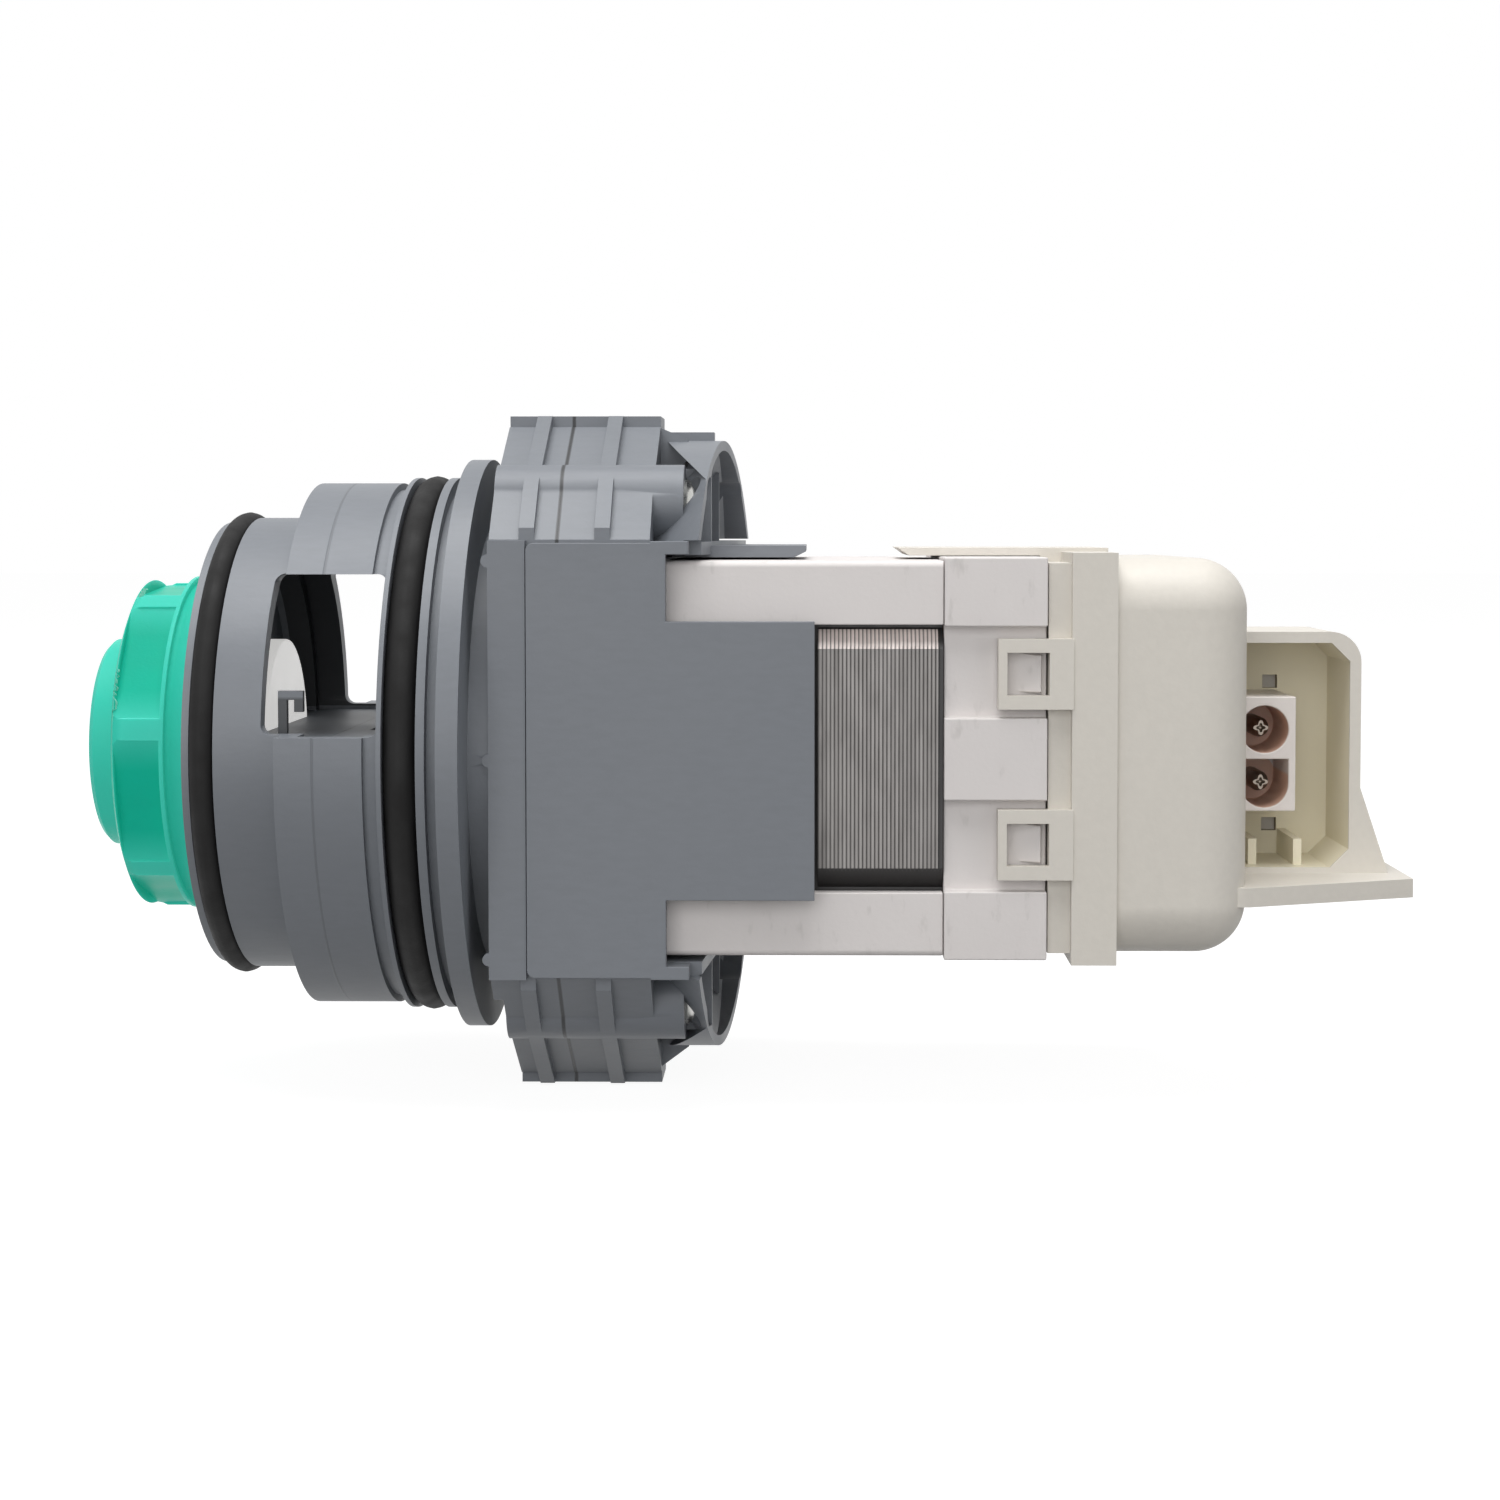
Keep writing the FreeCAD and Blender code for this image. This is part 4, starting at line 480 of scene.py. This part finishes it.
def turned_form(name, profile, segments, finish, centre=(0.0, 0.0), lobes=None,
                closed=False):
    """A form turned about a line along X from (x, radius) points; lobes waves some radii."""
    weld_distance = 1e-7
    sharp_from = math.radians(35.0)
    corners = []
    for step in range(segments):
        angle = 2.0 * math.pi * step / segments
        for index, (x, radius) in enumerate(profile):
            if lobes and index in lobes["points"]:
                radius = radius * (1.0 + lobes["depth"] * math.cos(lobes["count"] * angle))
            corners.append((x, centre[0] + radius * math.cos(angle),
                            centre[1] + radius * math.sin(angle)))
    count = len(profile)
    faces = []
    for step in range(segments):
        first = step * count
        second = ((step + 1) % segments) * count
        for index in range(count if closed else count - 1):
            following = (index + 1) % count
            faces.append((first + index, first + following, second + following, second + index))
    shape = bmesh.new()
    made = [shape.verts.new(corner) for corner in corners]
    for face in faces:
        shape.faces.new([made[index] for index in face])
    bmesh.ops.remove_doubles(shape, verts=shape.verts, dist=weld_distance)
    bmesh.ops.recalc_face_normals(shape, faces=shape.faces)
    mesh = bpy.data.meshes.new(name)
    shape.to_mesh(mesh)
    shape.free()
    mesh.shade_smooth()
    mesh.set_sharp_from_angle(angle=sharp_from)
    piece = new_piece(name, mesh, finish)
    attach(piece, "housing")
    return piece


def black_rubber():
    """Dull black rubber with a faint bloom."""
    finish, tree, shader, place = blank_finish("black_rubber", 0.70)
    bloom = noise(tree, place, 0.004, 4.0)
    tree.links.new(blended(tree, bloom, linear(7, 7, 8), linear(17, 16, 16)),
                   shader.inputs["Base Color"])
    tree.links.new(ranged(tree, bloom, 0.3, 0.7, 0.60, 0.78), shader.inputs["Roughness"])
    shader.inputs["Specular IOR Level"].default_value = 0.28
    relief(tree, shader, noise(tree, place, 0.0004), 0.00002)
    return finish


rubber_finish = black_rubber()


def o_ring(node, name):
    """A ring as thick and as wide as its node."""
    witness_height = 0.00004
    ring_steps = 180
    section_steps = 40
    quarter = section_steps // 4
    low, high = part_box(node)
    section = (high[0] - low[0]) / 2.0
    middle = (high[0] + low[0]) / 2.0
    profile = []
    for step in range(section_steps):
        turn = 2.0 * math.pi * step / section_steps
        witness = witness_height if step in (quarter, 3 * quarter) else 0.0
        profile.append((middle + section * math.cos(turn),
                        high[2] - section + (section - witness_height + witness) * math.sin(turn)))
    ring = turned_form(name, profile, ring_steps, rubber_finish, closed=True)
    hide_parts(node)


o_ring("front_o_ring", "front_seal")
o_ring("rear_o_ring", "rear_seal")


# The housing gasket: a flat frame of the same black rubber. It lies between the two casing
# halves, where the housing screws press it flat.

moulded_form("housing_gasket", "casing_gasket", 0.0001, rubber_finish)


# The rear housing: the rear half of the casing with its screw bosses, hub and flared skirt, one
# moulding in the same grey plastic, screwed to the front half.

moulded_form("rear_housing", "rear_casing", 0.00022, housing_finish)


# The housing screws: four thread-forming screws of zinc plated steel with domed heads and a
# six-lobed drive, driven through the rear bosses into the front casing half.

def plated_steel(name, colour, roughness):
    """Bare or plated metal, a little uneven in colour and shine."""
    finish, tree, shader, place = blank_finish(name, roughness)
    cloud = noise(tree, place, 0.0015, 3.0)
    tree.links.new(blended(tree, cloud, shade(colour, 0.82), shade(colour, 1.08)),
                   shader.inputs["Base Color"])
    tree.links.new(ranged(tree, cloud, 0.3, 0.7, roughness - 0.08, roughness + 0.10),
                   shader.inputs["Roughness"])
    shader.inputs["Metallic"].default_value = 1.0
    relief(tree, shader, noise(tree, place, 0.0003), 0.00001)
    return finish


def screw_outline(tip_x, head_top_x):
    """A screw's (x, radius) points from its tip round its head to the floor of its drive."""
    tip_radius = 0.0009
    tip_length = 0.0012
    core_radius = 0.00125
    crest_radius = 0.00150
    pitch = 0.0011
    head_x = head_top_x - 0.0012
    thread_x = tip_x + tip_length
    outline = [(tip_x, 0.0), (tip_x, tip_radius), (thread_x, core_radius)]
    while thread_x < head_x - 2.0 * pitch:
        outline += [(thread_x + 0.00040, core_radius), (thread_x + 0.00055, crest_radius),
                    (thread_x + 0.00070, core_radius)]
        thread_x += pitch
    outline += [(head_x, core_radius), (head_x, 0.00305), (head_x + 0.00035, 0.00315),
                (head_x + 0.00075, 0.00280), (head_x + 0.00105, 0.00220), (head_top_x, 0.00150)]
    drive = [(head_top_x, 0.00112), (head_top_x - 0.0008, 0.00104), (head_top_x - 0.0009, 0.0)]
    return outline, drive


screw_finish = plated_steel("zinc_plated_steel", linear(206, 206, 202), 0.30)
screw_low, screw_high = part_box("housing_screws")
screw_body, screw_drive = screw_outline(screw_low[0], screw_high[0])
drive_start = len(screw_body)
six_lobes = {"points": (drive_start, drive_start + 1), "count": 6, "depth": 0.14}
boss_y = 0.0172
boss_z = 0.0315
screw_steps = 48
for side, side_name in ((-1, "near"), (1, "far")):
    for level, level_name in ((-1, "low"), (1, "high")):
        screw = turned_form("screw_%s_%s" % (side_name, level_name), screw_body + screw_drive,
                            screw_steps, screw_finish,
                            (side * boss_y, level * boss_z), six_lobes)
        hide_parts("housing_screws")


# The motor bracket: two stepped side plates joined by a cross web behind the casing, moulded in
# the grey plastic, with short lips over the skirt's shelf.

moulded_form("motor_bracket", "bracket", 0.00055, grey_plastic("bracket_plastic"))


# The stator frame: an open box of matt white plastic that holds the sheet stack, with scuffs and
# a little dust on its faces.

def white_plastic():
    """Matt white plastic with faint flow marks and grey scuffs along its height."""
    white = linear(220, 215, 213)
    finish, tree, shader, place = blank_finish("white_plastic", 0.62)
    flow = noise(tree, place, 0.010, 4.0, (0.5, 1.0, 1.0))
    scuff = noise(tree, place, 0.0016, 6.0, (1.0, 1.0, 0.35))
    cloud = blended(tree, flow, shade(white, 0.95), shade(white, 1.04))
    scuffed = blended(
        tree, ranged(tree, scuff, 0.62, 0.78, 0.0, 0.5), cloud, linear(184, 180, 176))
    tree.links.new(scuffed, shader.inputs["Base Color"])
    tree.links.new(ranged(tree, scuff, 0.3, 0.7, 0.55, 0.72), shader.inputs["Roughness"])
    relief(tree, shader, noise(tree, place, 0.0006), 0.00002)
    return finish


white_finish = white_plastic()
moulded_form("stator_frame", "stator_box", 0.00016, white_finish)


# The stator core: thirty-one sheets of electrical steel, punched and stacked, so that their cut
# edges show as fine lines. The window's rim throws its shade on the low, top and rear edges.

stack_front_x = 0.0602
sheet_thickness = 0.0005
open_low = (0.0590, -0.0300, -0.0137)
open_high = (0.0751, 0.0300, 0.0160)
painted_highlight_z = 0.0136


def sheet_stack():
    """A grey for each sheet, a dark seam between two, a painted highlight on the upper slope of the
    opening, and painted shade outside the opening.
    """
    finish, tree, shader, place = blank_finish("punched_sheet", 0.45)
    count = worked(tree, "MULTIPLY_ADD", part_of(tree, place, "X"),
                   1.0 / sheet_thickness, -stack_front_x / sheet_thickness)
    chance = tree.nodes.new("ShaderNodeTexWhiteNoise")
    chance.noise_dimensions = "1D"
    tree.links.new(worked(tree, "FLOOR", count), chance.inputs["W"])
    sheet = blended(tree, chance.outputs["Value"], linear(126, 123, 121), linear(140, 137, 135))
    seam = ranged(tree, worked(tree, "FRACT", count), 0.10, 0.50, 0.90, 0.0)
    # Painted highlight: the upper slope of the opening is painted pale, where light from above falls
    # on it.
    painted_highlight_low = (open_low[0], open_low[1], painted_highlight_z)
    painted_highlight = inside_box(tree, place, painted_highlight_low, open_high)
    lit_sheet = blended(tree, painted_highlight, sheet, linear(238, 226, 221))
    seamed = blended(tree, seam, lit_sheet, linear(48, 46, 45))
    streak = noise(tree, place, 0.0015, 4.0, (1.0, 1.0, 0.25))
    dirt = ranged(tree, streak, 0.45, 0.75, 0.0, 0.20)
    dirty = blended(tree, dirt, seamed, linear(84, 81, 79))
    # Painted shade: outside the window's opening, where its rim shades the low, top and rear edges,
    # the sheets are painted near black.
    unshaded_part = inside_box(tree, place, open_low, open_high)
    tree.links.new(blended(tree, unshaded_part, linear(24, 22, 22), dirty), shader.inputs["Base Color"])
    bare = worked(tree, "MULTIPLY", unshaded_part, ranged(tree, painted_highlight, 0.0, 1.0, 0.55, 0.05))
    tree.links.new(bare, shader.inputs["Metallic"])
    tree.links.new(ranged(tree, streak, 0.3, 0.7, 0.34, 0.52), shader.inputs["Roughness"])
    relief(tree, shader, streak, 0.00002)
    return finish


def refinish(node, finish):
    """Gives a node that keeps its own form its real finish."""
    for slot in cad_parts[node].material_slots:
        slot.material = finish


core_finish = sheet_stack()
refinish("stator_core", core_finish)


# A thin black frame that lies on the first sheet, round the coils, and closes the gap between the
# sheets and the bracket's tongue: a dark sheet of painted shade that stands in for the shade in that
# gap.

def flat_frame(name, front_x, rear_x, outside, inside, finish):
    """A flat frame square to the pump axis; outside and inside are half widths and heights."""
    shape = bmesh.new()
    rings = []
    for x, (half_width, half_height) in (
            (front_x, outside), (front_x, inside), (rear_x, inside), (rear_x, outside)):
        rings.append([shape.verts.new((x, side * half_width, level * half_height))
                      for side, level in ((-1, -1), (1, -1), (1, 1), (-1, 1))])
    for index, ring in enumerate(rings):
        following = rings[(index + 1) % 4]
        for step in range(4):
            ahead = (step + 1) % 4
            shape.faces.new((ring[step], ring[ahead], following[ahead], following[step]))
    bmesh.ops.recalc_face_normals(shape, faces=shape.faces)
    mesh = bpy.data.meshes.new(name)
    shape.to_mesh(mesh)
    shape.free()
    piece = new_piece(name, mesh, finish)
    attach(piece, "housing")


gap_frame_thickness = 0.0006
gap_frame_outside = (0.0235, 0.0223)
gap_frame_inside = (0.0194, 0.0194)
core_front_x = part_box("stator_core")[0][0]
# Painted shade: this black frame stands in for the shade in the gap in front of the sheets.
flat_frame("gap_shade_frame", core_front_x - gap_frame_thickness, core_front_x, gap_frame_outside,
           gap_frame_inside, moulded_plastic("gap_shade_black", linear(30, 28, 28), 0.55))


# The stator windings: four coils of enamelled copper wire, wound round the poles of the sheet
# stack and hidden in the white box.

def wound_wire():
    """Brown enamelled copper, banded by its turns."""
    finish, tree, shader, place = blank_finish("enamelled_copper", 0.32)
    wave = tree.nodes.new("ShaderNodeTexWave")
    wave.wave_type = "BANDS"
    wave.bands_direction = "DIAGONAL"
    wave.inputs["Scale"].default_value = 620.0
    wave.inputs["Distortion"].default_value = 0.3
    tree.links.new(place, wave.inputs["Vector"])
    turns = wave.outputs["Fac"]
    tree.links.new(blended(tree, turns, linear(120, 58, 26), linear(196, 112, 62)),
                   shader.inputs["Base Color"])
    shader.inputs["Metallic"].default_value = 0.8
    relief(tree, shader, turns, 0.00012)
    return finish


refinish("stator_windings", wound_wire())


# The stator end cap: the same white plastic, with three raised blocks on each side and ramps for
# the cover's loops. It closes the stator and holds the rear bearing.

moulded_form("stator_end_cap", "end_cap", 0.00020, white_finish)


# The rear cover: flange, collar and rounded dome over the electronics, with snap loops, a top
# strip and the plug hood with its tray, moulded in one piece in beige plastic.

def beige_plastic():
    """Beige plastic; painted light makes the hood's recess paler and yellower, and painted shade
    makes its two latch slots brown.
    """
    recess = ((0.1143, -0.0086, -0.01635), (0.12935, 0.0064, 0.01375))
    slots = ((0.1143, 0.0062, -0.0160), (0.1290, 0.0073, 0.0136))
    finish = moulded_plastic("beige_plastic", linear(213, 208, 199), 0.50,
                             grain=0.0007, depth=0.00002, mottle=0.03)
    tree = finish.node_tree
    base_colour = tree.nodes["Principled BSDF"].inputs["Base Color"]
    outside = base_colour.links[0].from_socket
    place = tree.nodes.new("ShaderNodeTexCoord").outputs["Object"]
    # Painted light: the hood's recess is painted paler and yellower than the rest of the cover.
    recess_painted_light = blended(tree, inside_box(tree, place, *recess), outside, linear(236, 229, 206))
    # Painted shade: the two latch slots are painted brown.
    slots_painted_shade = blended(tree, inside_box(tree, place, *slots), recess_painted_light, linear(146, 130, 106))
    tree.links.new(slots_painted_shade, base_colour)
    return finish


moulded_form("rear_cover", "cover", 0.00035, beige_plastic())


# The connector block: a smooth pale block with a round and a keyed cavity for the plug's sleeves,
# pushed into the floor of the hood. Each cavity stands round one contact pin.

pins_low, pins_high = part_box("contact_pins")
pin_radius = 0.0013
pin_x = (pins_low[0] + pins_high[0]) / 2.0
high_pin_z = pins_high[2] - pin_radius
low_pin_z = pins_low[2] + pin_radius
square_to_y = (1.0, 0.0, 1.0)
cavity_edge = (0.00325, 0.00340)
shade_starts = (0.00015, 0.00035)


def connector_plastic():
    """Smooth pale plastic, brown in the shade of its two cavities."""
    finish = moulded_plastic("connector_plastic", linear(222, 215, 210), 0.38)
    tree = finish.node_tree
    base_colour = tree.nodes["Principled BSDF"].inputs["Base Color"]
    pale = base_colour.links[0].from_socket
    place = tree.nodes.new("ShaderNodeTexCoord").outputs["Object"]
    round_each_pin = []
    for level in (high_pin_z, low_pin_z):
        away = distance_from_line(tree, place, square_to_y, (pin_x, 0.0, level))
        round_each_pin.append(ranged(tree, away, *cavity_edge, 1.0, 0.0))
    inside = worked(tree, "MAXIMUM", *round_each_pin)
    front_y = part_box("connector_block")[0][1]
    sunk = ranged(tree, part_of(tree, place, "Y"), *[front_y + depth for depth in shade_starts])
    shaded = worked(tree, "MULTIPLY", inside, sunk)
    tree.links.new(blended(tree, shaded, pale, linear(224, 188, 168)), base_colour)
    return finish


moulded_form("connector_block", "plug_block", 0.00020, connector_plastic())


# The contact pins: tin plated sheet rolled into tubes, their tips folded in four lobes, standing
# in the cavities of the block.

pin_finish = plated_steel("tin_plated_sheet", linear(140, 131, 121), 0.34)
pin_steps = 48


def rolled_pin(name, x, z):
    """A rolled pin along Y with a folded, four-lobed tip."""
    profile = [(0.0, 0.0), (0.0, pin_radius), (0.0062, pin_radius), (0.0074, 0.00108),
               (0.0080, 0.00076), (0.0080, 0.00048), (0.0076, 0.00032), (0.0072, 0.0)]
    pin = turned_form(name, profile, pin_steps, pin_finish,
                      lobes={"points": (4, 5, 6), "count": 4, "depth": 0.30})
    for corner in pin.data.vertices:
        along, across, up = corner.co
        corner.co = (x + across, pins_high[1] - along, z + up)
    pin.data.flip_normals()
    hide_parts("contact_pins")


rolled_pin("pin_high", pin_x, high_pin_z)
rolled_pin("pin_low", pin_x, low_pin_z)


# The circuit board and its two large parts: glass laminate under green lacquer, a sleeved
# capacitor can and the driver's moulded body, all inside the cover.

board_finish = moulded_plastic("lacquered_laminate", linear(28, 92, 52), 0.35, mottle=0.10)
refinish("circuit_board", board_finish)
refinish("smoothing_capacitor", moulded_plastic("can_sleeve", linear(40, 42, 50), 0.40))
refinish("driver_chip", moulded_plastic("chip_resin", linear(30, 30, 31), 0.60))


# The bearings and the seal seat: two sintered bronze bushes, and a ground ceramic ring pressed
# into the hub for the carbon ring to run on.

refinish("front_bearing", plated_steel("sintered_bronze", linear(166, 126, 78), 0.50))
refinish("rear_bearing", plated_steel("sintered_bronze_rear", linear(160, 122, 76), 0.50))
refinish("seal_seat", moulded_plastic("ground_ceramic", linear(232, 230, 222), 0.25, mottle=0.02))


# The rotor: a ground steel shaft, a core of punched sheets on it and a ring of sintered ferrite
# round the core. The three turn as one in the two bearings.

refinish("shaft", plated_steel("ground_steel", linear(200, 200, 200), 0.20))
refinish("rotor_core", core_finish)
refinish("rotor_magnet", moulded_plastic("sintered_ferrite", linear(52, 52, 54), 0.50))


# The impeller and what holds it: six curved blades between two discs in dark glass-filled
# plastic, a steel nut, the carbon seal ring and its spring sleeve.

refinish("impeller", moulded_plastic("dark_plastic", linear(66, 69, 73), 0.45))
refinish("impeller_nut", screw_finish)
refinish("seal_ring", moulded_plastic("lapped_carbon", linear(34, 34, 35), 0.30))
refinish("seal_spring", plated_steel("spring_steel", linear(190, 190, 190), 0.30))
